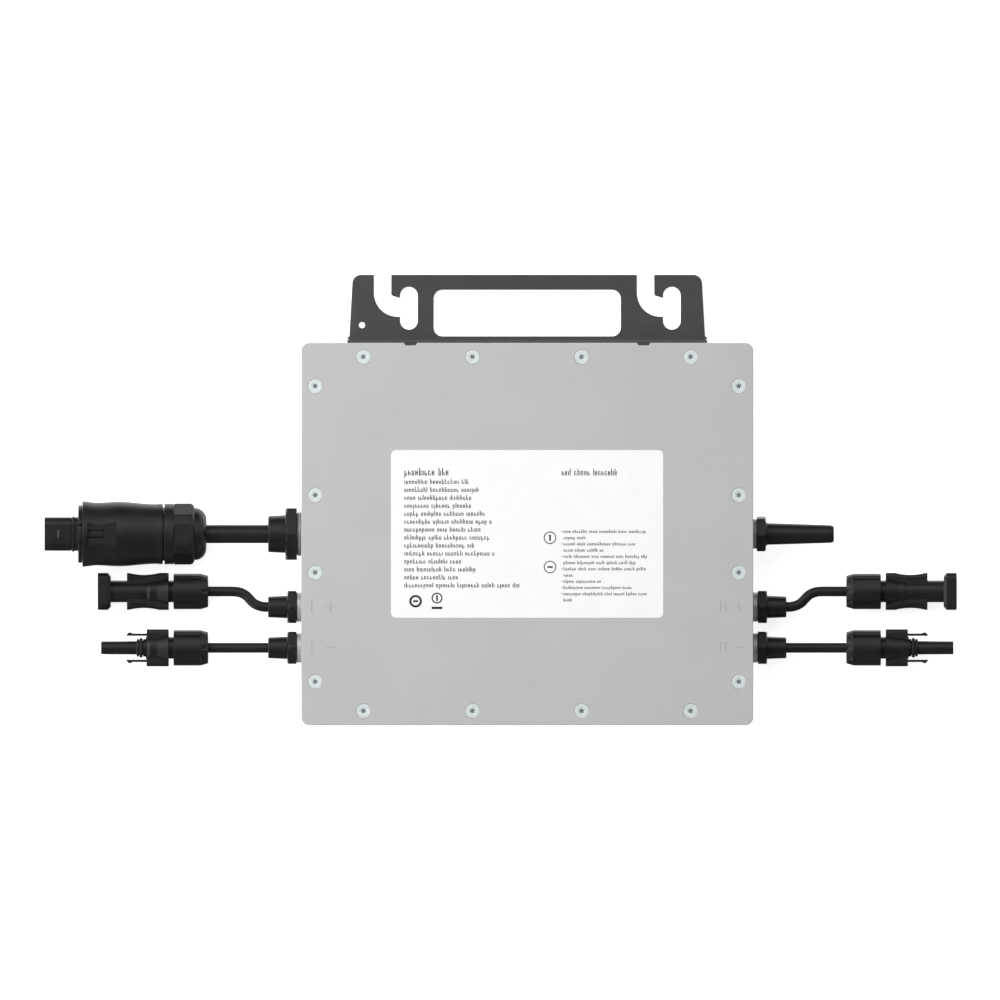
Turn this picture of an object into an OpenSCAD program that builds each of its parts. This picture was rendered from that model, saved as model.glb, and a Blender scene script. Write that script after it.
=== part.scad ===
// Solar micro inverter that hangs from a rail: a sealed cast box with a screwed cover,
// four short solar leads, one mains lead, an antenna and a bent sheet hanger.
// Millimetres. The back lies on z = 0, the cover faces +Z and the hanger points to +Y.

/* [Body] */
// Width of the box, from gland wall to gland wall
body_w = 230; // [228:1:236]
// Height of the box, without the hanger
body_h = 194.6; // [192:0.2:200]
// Thickness of the box with its cover
body_d = 38; // [38:1:42]
// Thickness of the cover plate
cover_t = 3; // [2.5:0.5:3.5]
// Radius of the box's four corners
corner_r = 4; // [2:0.5:6]
// Thickness of the cast walls
wall_t = 3; // [2.5:0.5:3.5]
// Depth of the cooling grooves in the back
groove_d = 4; // [2:0.5:4]

/* [Cover screws] */
// Distance of the screws from the cover's edge
screw_inset = 7.2; // [6.5:0.1:7.5]
// Distance between neighbouring screws
screw_pitch = 55.5; // [54:0.5:56]
// Distance of the inner side screws from the middle
screw_mid = 19.7; // [19:0.1:21]
// Diameter of a countersunk head
screw_head = 7.5; // [7:0.1:8]
// Diameter of a screw's shank
screw_d = 4; // [3:0.5:4]

/* [Rating label] */
// Width of the label
label_w = 138.6; // [120:0.2:150]
// Height of the label
label_h = 85.4; // [70:0.2:95]

/* [Hanger] */
// Thickness of the hanger's steel sheet
sheet_t = 1.5; // [1.4:0.1:2]
// Height of the hanger above the box
hanger_h = 34.6; // [34.6:0.2:38]
// Distance between the two hooks
hook_pitch = 133.8; // [132:0.2:135]
// Diameter of the earth hole
earth_hole = 3.2; // [3:0.1:4.2]

/* [Leads] */
// Diameter of the mains lead
ac_lead = 9.3; // [8:0.1:9.3]
// Diameter of a solar lead
dc_lead = 5.1; // [4.5:0.1:5.1]

/* [Latches] */
// Thickness of a latch arm on a solar plug
arm_t = 1.2; // [1:0.1:1.3]
// Width of the release tongue on the mains plug
tongue_w = 3.1; // [2.6:0.1:3.2]

/* [Hidden] */
$fn = 48;

gap = 0.05;     // play of a screw or spigot in its hole
over = 0.1;     // how far a cutting shape runs past the face that it cuts
left = -1;      // side a of the box
right = 1;      // side b of the box

cover_z = body_d - cover_t;
half_w = body_w / 2;
half_h = body_h / 2;

// Inside of the box
rim_w = 15;
rim_t = 7;
rim_z = cover_z - rim_t;
floor_z = 7;          // top of the grooved middle
side_floor_z = 3;     // top of the thinner side bands
side_band = 23;       // width of a side band, from the wall
board_z = 10;
board_t = 1.6;
board_top = board_z + board_t;
board_w = 180;
board_h = 152;
post_r = 3.5;
post_spots = [for (x = [-82, 0, 82], y = [-68, 68]) [x, y]];

// Gasket, in a groove of the rim
gasket_w = 2.4;
gasket_t = 1.4;
gasket_inset = 10.8;

// Cooling grooves on the back
groove_w = 5.6;
groove_pitch = 8;
groove_first = 11;
groove_count = 10;
groove_len = 168;

// Screws
screw_spots = concat(
    [for (i = [-1.5:1:1.5], s = [left, right]) [i * screw_pitch, s * (half_h - screw_inset)]],
    [for (y = [-screw_mid - screw_pitch, -screw_mid, screw_mid, screw_mid + screw_pitch],
          s = [left, right]) [s * (half_w - screw_inset), y]]);
screw_len = 10;
head_h = (screw_head - screw_d) / 2;

// Hanger, seen from the cover's side
hanger_top = half_h + hanger_h;
hanger_z = 1;
flange_z1 = body_d - 1.2;
bend_in = 1;
bend_out = bend_in + sheet_t;
hanger_half = 91.6;
key_x = 59.3;
key_top = 6.7;
key_low = 5;
key_d = 1.2;
key_z = body_d - 5;
bracket_screw_x = [-70, -12, 12, 70];
bracket_screw_z = 18;
bracket_screw_d = 3;
bracket_screw_head = 5.6;
slot_left = -78;     // left edge of the left hook's entry slot
slot_w = 8.8;
finger_w = 4.5;
eye_w = 9;
eye_low = 104;
eye_high = 125.8;
throat_r = 12;

// Glands and leads: height above the back, and y counted from the middle of the box
ac_z = 17;
dc_z = 11;
plus_y = -37.1;
minus_y = -57.9;
plus_plug_y = -29.2;
plug_z = 9.3;
gland_end = 131.9;
ac_bore_r = ac_lead / 2 + 0.15;
dc_bore_r = dc_lead / 2 + 0.15;
ac_spigot_r = 8;
dc_spigot_r = 5;
ac_af = 26.3;
dc_af = 16.4;

// Routes of the leads: distance from the middle, y, height. They start inside the box.
ac_route = [for (x = [104, 110, 115, 120, 125, 130, 135, 140, 145, 150, 155, 160, 165, 170, 176])
    [x, 0, ac_z]];
minus_route = [
    [104, -57.9, 11], [110, -57.9, 11], [116, -57.9, 11], [122, -57.9, 11], [128, -57.9, 11],
    [133, -57.9, 11], [137, -57.9, 10.9], [141, -57.9, 10.6], [145, -57.9, 10.2],
    [149, -57.9, 9.8], [153, -57.9, 9.5], [157, -57.9, 9.35], [161, -57.9, 9.3],
    [166, -57.9, 9.3], [172, -57.9, 9.3]];
plus_route = [
    [104, -37.1, 11], [114, -37.1, 11], [124, -37.1, 11], [132, -37.1, 11],
    [135, -36.9, 10.9], [137.5, -36.1, 10.8], [139.5, -34.9, 10.6], [141.2, -33.15, 10.5],
    [142.9, -31.4, 10.3], [144.9, -30.2, 10.1], [147.4, -29.4, 9.8], [150.4, -29.2, 9.6],
    [155, -29.2, 9.4], [162, -29.2, 9.3], [172, -29.2, 9.3]];

// Mains plug: distances from the middle of the box
ac_nut_0 = 163.1;
ac_hex_0 = 169.2;
ac_ring_0 = 179.7;
ac_neck_0 = 184.6;
ac_sleeve_0 = 185.4;
ac_sleeve_1 = 226.4;
ac_collar_1 = 228.5;
ac_nose_1 = 245.7;
ac_mouth_d = 11.5;
nose_w = 17.1;
nose_t = 14.6;
nose_r = 4;
nose_wall = 1.6;
// Radius of the sleeve's outside at its waists and bulges
sleeve_knots = [[185.4, 15.4], [189, 15.2], [208, 16.4], [219, 15.95], [226.4, 16.7]];
sleeve_bore_r = 13.2;
panel_x = 15.1;      // distance of the flat latch panel from the axis
panel_0 = 209.2;
panel_1 = 223.5;
tongue_0 = 215.6;
tongue_t = 1.7;
tongue_gap = 0.35;
dome_r = 6;

// Solar plugs: distances from the middle of the box
nut_0 = 162.3;
nut_taper = 166;
nut_1 = 180;
nut_r = 9.05;
neck_r = 5.6;
block_0 = 182.4;
block_w = 18.9;
block_t = 8;
hub_r = 8.1;
waist_r = 6.3;
core_r = 5.6;
hub_1 = 188.4;
waist_1 = 192;
plus_block_1 = 203.7;
flange_0 = 211.9;
flange_1 = 218.6;
socket_r = 3.45;
socket_d = 10;
minus_block_1 = 193.7;
seat_1 = 198.6;
seat_r = 4.5;
seal_x = 196.5;
barrel_1 = 216.9;
barrel_r = 3.35;
arm_y = 6.67;
arm_w = 6;
arm_tip = 204.1;
arm_root = 192.4;
arm_gap = 0.3;
barb_h = 0.6;

// Antenna: distances from the middle of the box
antenna_hex_0 = 116.8;
antenna_hex_1 = 121.5;
antenna_tip = 156.1;
antenna_af = 16.8;
antenna_spigot_r = 3.2;

function hex_r(af) = af / 2 / cos(30);
function ease(t) = (1 - cos(180 * t)) / 2;
function between(a, b, x) = a[1] + (b[1] - a[1]) * ease((x - a[0]) / (b[0] - a[0]));
function unit(v) = v / norm(v);

// ---------- shared shapes ----------

module rounded_rect(w, h, r) {
    square([w - 2 * r, h], center = true);
    square([w, h - 2 * r], center = true);
    for (x = [left, right], y = [-1, 1])
        translate([x * (w / 2 - r), y * (h / 2 - r)])
            circle(r);
}

// A frame of the given width along the inside of a rounded rectangle
module rounded_frame(w, h, r, width) {
    difference() {
        rounded_rect(w, h, r);
        rounded_rect(w - 2 * width, h - 2 * width, max(r - width, 1));
    }
}

// Turns the local z axis outwards along X, so that local z is the distance from the middle
module outwards(side, y, z) {
    translate([0, y, z])
        rotate([0, side * 90, 0])
            children();
}

// A solid of revolution between two distances
module ring(x0, x1, outer, inner) {
    translate([0, 0, x0])
        difference() {
            cylinder(r = outer, h = x1 - x0);
            translate([0, 0, -over])
                cylinder(r = inner, h = x1 - x0 + 2 * over);
        }
}

module hex_ring(x0, x1, af, inner, turn) {
    translate([0, 0, x0])
        difference() {
            rotate(turn)
                cylinder(r = hex_r(af), h = x1 - x0, $fn = 6);
            translate([0, 0, -over])
                cylinder(r = inner, h = x1 - x0 + 2 * over);
        }
}

// A tube swept along a route, for a lead on one side of the box
module lead(route, side, d, sides) {
    points = [for (p = route) [side * p[0], p[1], p[2]]];
    last = len(points) - 1;
    rings = [for (i = [0:last])
        let (t = unit(points[min(i + 1, last)] - points[max(i - 1, 0)]),
             u = unit(cross(t, [0, 0, 1])),
             v = cross(u, t))
        for (k = [0:sides - 1])
            points[i] + d / 2 * (cos(360 * k / sides) * u + sin(360 * k / sides) * v)];
    walls = [for (i = [0:last - 1], k = [0:sides - 1])
        let (a = i * sides + k, b = i * sides + (k + 1) % sides)
        [a, b, b + sides, a + sides]];
    first_cap = [for (k = [sides - 1:-1:0]) k];
    last_cap = [for (k = [0:sides - 1]) last * sides + k];
    polyhedron(points = rings, faces = concat(walls, [first_cap, last_cap]), convexity = 4);
}

// ---------- the box ----------

module housing() {
    color("silver")
        difference() {
            union() {
                difference() {
                    linear_extrude(cover_z)
                        rounded_rect(body_w, body_h, corner_r);
                    translate([0, 0, floor_z])
                        linear_extrude(rim_z - floor_z)
                            rounded_rect(body_w - 2 * wall_t, body_h - 2 * wall_t, 1.5);
                    for (s = [left, right])
                        translate([s * (half_w - wall_t - side_band / 2), 0,
                                   (side_floor_z + floor_z) / 2])
                            cube([side_band, body_h - 2 * wall_t - 4, floor_z - side_floor_z + over],
                                 center = true);
                    translate([0, 0, rim_z - over])
                        linear_extrude(rim_t + 2 * over)
                            rounded_rect(body_w - 2 * rim_w, body_h - 2 * rim_w, 4);
                }
                for (p = screw_spots)
                    translate([p[0], p[1], side_floor_z])
                        cylinder(r = 4.5, h = rim_z - side_floor_z);
                for (p = post_spots)
                    translate([p[0], p[1], floor_z - over])
                        cylinder(r = post_r, h = board_z - floor_z + over);
            }
            for (p = screw_spots)
                translate([p[0], p[1], cover_z - screw_len])
                    cylinder(r = screw_d / 2 + gap, h = screw_len + over);
            for (p = post_spots)
                translate([p[0], p[1], floor_z - 1.2])
                    cylinder(r = 1.3, h = 5);
            translate([0, 0, cover_z - gasket_t])
                linear_extrude(gasket_t + over)
                    rounded_frame(body_w - 2 * gasket_inset + 0.2, body_h - 2 * gasket_inset + 0.2,
                                  4, gasket_w + 0.2);
            cooling_grooves();
            outwards(left, 0, ac_z)
                translate([0, 0, half_w - wall_t - 1])
                    cylinder(r = ac_spigot_r + 2 * gap, h = wall_t + 2);
            for (s = [left, right], y = [plus_y, minus_y])
                outwards(s, y, dc_z)
                    translate([0, 0, half_w - wall_t - 1])
                        cylinder(r = dc_spigot_r + 2 * gap, h = wall_t + 2);
            outwards(right, 0, ac_z)
                translate([0, 0, half_w - wall_t - 1])
                    cylinder(r = antenna_spigot_r + gap, h = wall_t + 2);
            for (x = bracket_screw_x)
                translate([x, half_h - wall_t - 1, bracket_screw_z])
                    rotate([-90, 0, 0])
                        cylinder(r = bracket_screw_d / 2 + gap, h = wall_t + 2);
            bracket_keys(0.1, cover_z + over);
        }
}

// Grooves on both sides of a wide spine, and two short rows that end before the corners
module cooling_grooves() {
    for (s = [left, right], i = [0:groove_count - 1])
        translate([s * (groove_first + i * groove_pitch), 0, 0])
            translate([-groove_w / 2, -groove_len / 2, -over])
                cube([groove_w, groove_len, groove_d + over]);
}

module cover_plate() {
    color("darkgray")
        difference() {
            translate([0, 0, cover_z])
                linear_extrude(cover_t)
                    rounded_rect(body_w, body_h, corner_r);
            for (p = screw_spots)
                translate([p[0], p[1], 0]) {
                    translate([0, 0, cover_z - over])
                        cylinder(r = screw_d / 2 + 0.25, h = cover_t + 2 * over);
                    translate([0, 0, body_d - head_h - gap])
                        cylinder(r1 = screw_d / 2 + gap, r2 = screw_head / 2 + gap, h = head_h + gap);
                    translate([0, 0, body_d - over])
                        cylinder(r = screw_head / 2 + gap, h = 2 * over);
                }
            bracket_keys(0.1, body_d + over);
            for (s = [left, right], y = [plus_y, minus_y])
                translate([s * 104, y + 0.2, body_d - 0.2])
                    port_mark(s == left ? 1 : 2, y == plus_y);
        }
}

// Upright strokes that number the port, and a plus or minus sign
module port_mark(number, plus) {
    stroke = 0.7;
    linear_extrude(1) {
        for (i = [0:number - 1])
            translate([-5.4 + i * 2.6, 0])
                square([stroke, 5.4], center = true);
        translate([4, 0])
            square([4.4, stroke], center = true);
        if (plus)
            translate([4, 0])
                square([stroke, 4.4], center = true);
    }
}

module cover_gasket() {
    color("black")
        translate([0, 0, cover_z - gasket_t])
            linear_extrude(gasket_t)
                rounded_frame(body_w - 2 * gasket_inset, body_h - 2 * gasket_inset, 4, gasket_w);
}

module cover_screws() {
    color("lightgray")
        for (p = screw_spots)
            translate([p[0], p[1], body_d - gap])
                countersunk_screw();
}

// A countersunk screw with a star recess, its head's face at z = 0
module countersunk_screw() {
    difference() {
        union() {
            translate([0, 0, -head_h])
                cylinder(r1 = screw_d / 2, r2 = screw_head / 2, h = head_h);
            translate([0, 0, -cover_t - screw_len + 0.5])
                cylinder(r = screw_d / 2, h = cover_t + screw_len - 0.5 - head_h + over);
        }
        for (a = [0, 60, 120])
            rotate(a)
                translate([0, 0, -0.6])
                    cube([2.8, 0.8, 1.4], center = true);
    }
}

module rating_label() {
    color("white")
        translate([0, 0, body_d])
            linear_extrude(0.25)
                rounded_rect(label_w, label_h, 2.6);
}

// ---------- the hanger ----------

module hanger_bracket() {
    color("dimgray") {
        difference() {
            union() {
                translate([0, 0, hanger_z])
                    linear_extrude(sheet_t)
                        hanger_outline();
                translate([-hanger_half, half_h, hanger_z])
                    hanger_flange();
            }
            for (x = bracket_screw_x)
                translate([x, half_h + sheet_t, bracket_screw_z])
                    rotate([90, 0, 0])
                        countersink(bracket_screw_d / 2 + gap, bracket_screw_head / 2 + gap, 3);
        }
        bracket_keys(0, flange_z1);
    }
}

// A cone under a face at z = 0 and the hole below it, both running along +Z
module countersink(hole_r, head_r, depth) {
    translate([0, 0, -over])
        cylinder(r = head_r, h = over);
    cylinder(r1 = head_r, r2 = hole_r, h = head_r - hole_r);
    cylinder(r = hole_r, h = depth);
}

// The flange on the box's top wall and the bend that joins it to the hook plate
module hanger_flange() {
    flange_d = flange_z1 - hanger_z;
    rotate([90, 0, 90])
        linear_extrude(2 * hanger_half) {
            translate([0, bend_out])
                square([sheet_t, flange_d - bend_out]);
            difference() {
                translate([bend_out, bend_out])
                    circle(bend_out);
                translate([bend_out, bend_out])
                    circle(bend_in);
                translate([bend_out, 0])
                    square(2 * bend_out);
                translate([0, bend_out])
                    square(2 * bend_out);
            }
        }
}

module hanger_outline() {
    base_y = half_h + bend_out;
    corner = 4.4;
    difference() {
        union() {
            polygon([
                [-hanger_half, base_y], [-90.5, base_y + 0.9],
                [-89, hanger_top - corner], [-89 + corner, hanger_top],
                [89 - corner, hanger_top], [89, hanger_top - corner],
                [90.5, base_y + 0.9], [hanger_half, base_y]]);
            for (s = [left, right])
                translate([s * (89 - corner), hanger_top - corner])
                    circle(corner);
        }
        translate([0, (100.6 + 124.3) / 2])
            rounded_rect(95.2, 23.7, 4.5);
        for (i = [0, 1])
            translate([i * hook_pitch, 0])
                hook_slot();
        translate([-84.1, 106.3])
            circle(earth_hole / 2);
    }
}

// A slot open at the top that turns under a finger into a long eye
module hook_slot() {
    throat_x = slot_left + throat_r;
    throat_y = 122.6;
    finger_x = slot_left + slot_w;
    eye_x = finger_x + finger_w;
    difference() {
        union() {
            translate([slot_left, throat_y - over])
                square([slot_w, hanger_top - throat_y + 2 * over]);
            intersection() {
                translate([throat_x, throat_y])
                    circle(throat_r);
                translate([slot_left - 1, throat_y - throat_r - 1])
                    square([eye_x - slot_left + 2, throat_r + 1]);
            }
        }
        polygon([[finger_x, hanger_top + 1], [finger_x, 121.9], [finger_x + 0.7, 121.2],
                 [eye_x + 2, 119.5], [eye_x + 2, hanger_top + 1]]);
    }
    translate([eye_x + eye_w / 2, eye_low + eye_w / 2])
        circle(eye_w / 2);
    translate([eye_x + eye_w / 2, eye_high - eye_w / 2])
        circle(eye_w / 2);
    translate([eye_x, eye_low + eye_w / 2])
        square([eye_w, eye_high - eye_low - eye_w]);
}

// Two wedge-shaped keys that drop into notches of the box and cover; play widens them
module bracket_keys(play, z1) {
    for (x = [-key_x, key_x])
        translate([x, half_h, key_z - play])
            linear_extrude(z1 - key_z + play)
                polygon([[-key_top / 2 - play, play], [key_top / 2 + play, play],
                         [key_low / 2 + play, -key_d - play], [-key_low / 2 - play, -key_d - play]]);
}

module bracket_screws() {
    head = bracket_screw_head / 2;
    shank = bracket_screw_d / 2;
    color("lightgray")
        for (x = bracket_screw_x)
            translate([x, half_h + sheet_t, bracket_screw_z])
                rotate([90, 0, 0]) {
                    difference() {
                        cylinder(r1 = head, r2 = shank, h = head - shank);
                        translate([0, 0, 0.3])
                            cube([2.4, 0.6, 1.2], center = true);
                    }
                    translate([0, 0, head - shank - 0.01])
                        cylinder(r = shank, h = 5);
                }
}

// ---------- glands ----------

module ac_gland_washer() {
    color("gray")
        outwards(left, 0, ac_z)
            ring(half_w, half_w + 2.2, 11.15, ac_spigot_r + 2 * gap);
}

module ac_gland_body() {
    color("black")
        outwards(left, 0, ac_z) {
            hex_ring(half_w + 2.2, half_w + 8.1, ac_af, ac_bore_r, 0);
            ring(half_w - 10, half_w + 2.2, ac_spigot_r, ac_bore_r);
        }
}

module ac_gland_cap() {
    color("black")
        outwards(left, 0, ac_z)
            gland_cap(half_w + 8.1, 9.65, 9.2, ac_bore_r);
}

// A slightly tapered cap with a rounded end that holds the lead
module gland_cap(x0, r0, r1, bore_r) {
    edge = 0.8;
    difference() {
        union() {
            translate([0, 0, x0])
                cylinder(r1 = r0, r2 = r1, h = gland_end - edge - x0);
            translate([0, 0, gland_end - edge])
                rotate_extrude() {
                    square([r1 - edge, edge]);
                    intersection() {
                        translate([r1 - edge, 0])
                            circle(edge);
                        square([r1, edge]);
                    }
                }
        }
        translate([0, 0, x0 - over])
            cylinder(r = bore_r, h = gland_end - x0 + 2 * over);
    }
}

module ac_gland_locknut() {
    color("silver")
        outwards(left, 0, ac_z)
            hex_ring(half_w - wall_t - 5, half_w - wall_t, 21, ac_spigot_r + gap, 30);
}

module each_dc_gland() {
    for (s = [left, right], y = [plus_y, minus_y])
        outwards(s, y, dc_z)
            children();
}

module dc_gland_washers() {
    color("silver")
        each_dc_gland()
            ring(half_w, half_w + 2.4, 7.55, dc_spigot_r + 2 * gap);
}

module dc_gland_bodies() {
    color("black")
        each_dc_gland() {
            hex_ring(half_w + 2.4, half_w + 7.1, dc_af, dc_bore_r, 0);
            ring(half_w - 10, half_w + 2.4, dc_spigot_r, dc_bore_r);
        }
}

module dc_gland_caps() {
    color("black")
        each_dc_gland()
            gland_cap(half_w + 7.1, 5.65, 5.3, dc_bore_r);
}

module dc_gland_locknuts() {
    color("silver")
        each_dc_gland()
            hex_ring(half_w - wall_t - 4, half_w - wall_t, 14, dc_spigot_r + gap, 30);
}

// ---------- antenna ----------

module antenna_washer() {
    color("gray")
        outwards(right, 0, ac_z)
            ring(half_w, antenna_hex_0, 7.5, antenna_spigot_r + gap);
}

module antenna_base() {
    color("black")
        outwards(right, 0, ac_z) {
            translate([0, 0, antenna_hex_0])
                rotate(7.5)
                    cylinder(r = hex_r(antenna_af), h = antenna_hex_1 - antenna_hex_0, $fn = 6);
            translate([0, 0, half_w - 8])
                cylinder(r = antenna_spigot_r, h = 8 + antenna_hex_0 - half_w + over);
        }
}

// A whip that tapers to a rounded tip, with a small flare at its foot
module antenna_rod() {
    tip_r = 4.5;
    edge = 1.4;
    flare = 0.8;
    color("black")
        outwards(right, 0, ac_z)
            union() {
                translate([0, 0, antenna_hex_1])
                    cylinder(r1 = 5.6 + flare, r2 = 5.6, h = flare);
                translate([0, 0, antenna_hex_1])
                    cylinder(r1 = 5.6, r2 = tip_r, h = antenna_tip - antenna_hex_1 - edge);
                translate([0, 0, antenna_tip - edge])
                    rotate_extrude() {
                        square([tip_r - edge, edge]);
                        intersection() {
                            translate([tip_r - edge, 0])
                                circle(edge);
                            square([tip_r, edge]);
                        }
                    }
            }
}

// ---------- leads ----------

module ac_lead_cable() { color("black") lead(ac_route, left, ac_lead, 12); }
module lead_a_plus() { color("black") lead(plus_route, left, dc_lead, 10); }
module lead_a_minus() { color("black") lead(minus_route, left, dc_lead, 10); }
module lead_b_plus() { color("black") lead(plus_route, right, dc_lead, 10); }
module lead_b_minus() { color("black") lead(minus_route, right, dc_lead, 10); }

// ---------- mains plug ----------

// Clamping nut: a six-sided grip with flattened corners, and a rounded end
module ac_plug_nut() {
    hex_len = ac_ring_0 - ac_hex_0;
    grip_af = 29.1;
    corner_af = 31.1;
    foot_r = 7.3;
    color("black")
        outwards(left, 0, ac_z)
            difference() {
                union() {
                    translate([0, 0, ac_hex_0])
                        intersection() {
                            rotate(30)
                                cylinder(r = hex_r(grip_af), h = hex_len, $fn = 6);
                            cylinder(r = hex_r(corner_af), h = hex_len, $fn = 6);
                            cylinder(r1 = 14, r2 = 14 + hex_len, h = hex_len);
                        }
                    translate([0, 0, ac_hex_0])
                        rotate_extrude()
                            intersection() {
                                union() {
                                    translate([0, -dome_r])
                                        square([foot_r, dome_r + over]);
                                    translate([foot_r, 0])
                                        circle(dome_r);
                                }
                                translate([0, -dome_r])
                                    square([foot_r + dome_r, dome_r + over]);
                            }
                }
                translate([0, 0, ac_nut_0 - 1])
                    cylinder(r = ac_bore_r, h = 20);
                translate([0, 0, ac_hex_0 + 2])
                    cylinder(r = 10.1, h = hex_len);
            }
}

// Threaded rear body between the nut and the sleeve
module ac_plug_ring() {
    color("black")
        outwards(left, 0, ac_z) {
            ring(ac_ring_0, ac_neck_0, 15.5, ac_bore_r);
            ring(ac_neck_0, ac_sleeve_0, 13.6, ac_bore_r);
            ring(ac_hex_0 + 2.3, ac_ring_0, 10, ac_bore_r);
            ring(ac_sleeve_0, ac_sleeve_0 + 9, 12.9, ac_bore_r);
        }
}

// Outer coupling sleeve, waisted for the fingers, with a flat latch panel
module ac_plug_sleeve() {
    steps = 6;
    last = len(sleeve_knots) - 1;
    profile = concat(
        [for (i = [0:last - 1], k = [0:steps - 1])
            let (a = sleeve_knots[i], b = sleeve_knots[i + 1], x = a[0] + (b[0] - a[0]) * k / steps)
            [between(a, b, x), x]],
        [[sleeve_knots[last][1], sleeve_knots[last][0]]]);
    color("black")
        outwards(left, 0, ac_z)
            difference() {
                rotate_extrude()
                    polygon(concat([[sleeve_bore_r, ac_sleeve_0]], profile,
                                   [[sleeve_bore_r, ac_sleeve_1]]));
                translate([panel_x, -10, panel_0])
                    cube([5, 20, panel_1 - panel_0]);
                translate([10, -tongue_w / 2 - tongue_gap, tongue_0 - tongue_gap])
                    cube([8, tongue_w + 2 * tongue_gap, panel_1 - tongue_0 + tongue_gap + 0.1]);
            }
}

// Release tongue in the latch panel; its root is at the end nearer the lead
module ac_plug_tongue() {
    color("black")
        outwards(left, 0, ac_z)
            translate([panel_x - tongue_t, -tongue_w / 2, tongue_0])
                cube([tongue_t, tongue_w, panel_1 - tongue_0 - 0.3]);
}

// Contact carrier: collar, nose with an open mouth, and the body inside the sleeve
module ac_plug_insert() {
    land_0 = 224.2;
    color("black")
        outwards(left, 0, ac_z)
            difference() {
                union() {
                    ring(ac_sleeve_0 + 9.2, land_0, 11.4, 5);
                    translate([0, 0, land_0 - 1])
                        cylinder(r = 11.4, h = 2);
                    translate([0, 0, land_0])
                        cylinder(r = sleeve_bore_r - gap, h = ac_sleeve_1 - land_0);
                    translate([0, 0, ac_sleeve_1])
                        cylinder(r = 14.7, h = ac_collar_1 - ac_sleeve_1);
                    translate([0, 0, ac_collar_1 - over])
                        linear_extrude(ac_nose_1 - ac_collar_1 + over)
                            rounded_rect(nose_t, nose_w, nose_r);
                    translate([0, 0, 230.5])
                        linear_extrude(1.2)
                            rounded_rect(nose_t + 1, nose_w + 0.9, nose_r);
                }
                translate([0, 0, ac_nose_1 - ac_mouth_d])
                    linear_extrude(ac_mouth_d + over)
                        rounded_rect(nose_t - 2 * nose_wall, nose_w - 2 * nose_wall, nose_r - nose_wall);
                for (y = [-4.6, 4.6])
                    translate([12, y - 0.6, ac_sleeve_1 - over])
                        cube([4, 1.2, 3]);
                translate([nose_t / 2 - 0.5, -2.1, 238])
                    cube([2, 4.2, 1.2]);
            }
}

module ac_plug_contacts() {
    base = ac_nose_1 - ac_mouth_d;
    color("gold")
        outwards(left, 0, ac_z)
            for (p = [[-2.4, -4], [-2.4, 4], [2.6, 0]])
                translate([p[0], p[1], base]) {
                    cylinder(r = 1.2, h = 5.2);
                    translate([0, 0, 5.1])
                        cylinder(r1 = 1.2, r2 = 0.7, h = 1);
                }
}

// ---------- solar plugs ----------

// Clamping nut with four wide grooves, the same on every solar plug
module plug_nut() {
    flutes = 4;
    flute_r = 4;
    flute_d = 0.6;
    difference() {
        union() {
            translate([0, 0, nut_0])
                cylinder(r1 = 8.2, r2 = nut_r, h = nut_taper - nut_0);
            translate([0, 0, nut_taper])
                cylinder(r = nut_r, h = nut_1 - nut_taper);
        }
        for (i = [0:flutes - 1])
            rotate(360 * (i + 0.5) / flutes)
                translate([nut_r - flute_d + flute_r, 0, nut_taper + 0.5])
                    cylinder(r = flute_r, h = 20);
        translate([0, 0, nut_0 - over])
            cylinder(r = dc_bore_r, h = 20);
        translate([0, 0, nut_1 - 6])
            cylinder(r = neck_r, h = 7);
    }
}

// What both kinds of body share: thread spigot, neck, hub cone and side wings
module plug_core(block_1) {
    translate([0, 0, nut_1 - 5.8])
        cylinder(r = neck_r - gap, h = 6);
    translate([0, 0, nut_1])
        cylinder(r = neck_r, h = block_0 - nut_1 + 1);
    translate([0, 0, block_0])
        cylinder(r1 = hub_r, r2 = waist_r, h = hub_1 - block_0);
    translate([0, 0, hub_1])
        cylinder(r = waist_r, h = waist_1 - hub_1);
    translate([0, 0, waist_1])
        cylinder(r1 = waist_r, r2 = core_r, h = minus_block_1 - waist_1);
    translate([-block_t / 2, -block_w / 2, block_0])
        cube([block_t, block_w, block_1 - block_0]);
}

module plus_body(side) {
    scallop_r = 30.3;
    scallop_d = 1;
    bevel = 1.5;
    color("black")
        outwards(side, plus_plug_y, plug_z)
            difference() {
                union() {
                    difference() {
                        plug_core(plus_block_1);
                        for (s = [left, right])
                            translate([0, s * (block_w / 2 - scallop_d + scallop_r), 195])
                                rotate([0, 90, 0])
                                    cylinder(r = scallop_r, h = 30, center = true);
                    }
                    translate([0, 0, block_0])
                        cylinder(r = neck_r, h = flange_0 - block_0 + 1);
                    intersection() {
                        translate([0, 0, flange_0])
                            linear_extrude(flange_1 - flange_0)
                                rounded_rect(14.5, block_w, 3);
                        translate([-10, 0, 0])
                            rotate([90, 0, 90])
                                linear_extrude(20)
                                    polygon([[-block_w / 2, flange_1], [block_w / 2, flange_1],
                                             [block_w / 2, flange_0 + bevel],
                                             [block_w / 2 - bevel, flange_0],
                                             [-block_w / 2 + bevel, flange_0],
                                             [-block_w / 2, flange_0 + bevel]]);
                    }
                }
                translate([0, 0, flange_1 - socket_d])
                    cylinder(r = socket_r, h = socket_d + over);
                translate([0, 0, flange_1 - socket_d - 6])
                    cylinder(r = 2.2, h = 7);
                for (s = [left, right])
                    translate([0, s * 7, flange_0 + 3])
                        cube([6.6, 2, 12], center = true);
            }
}

module plus_contact(side) {
    color("gold")
        outwards(side, plus_plug_y, plug_z)
            translate([0, 0, flange_1 - socket_d - 6])
                cylinder(r = 1.5, h = 5.6);
}

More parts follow.
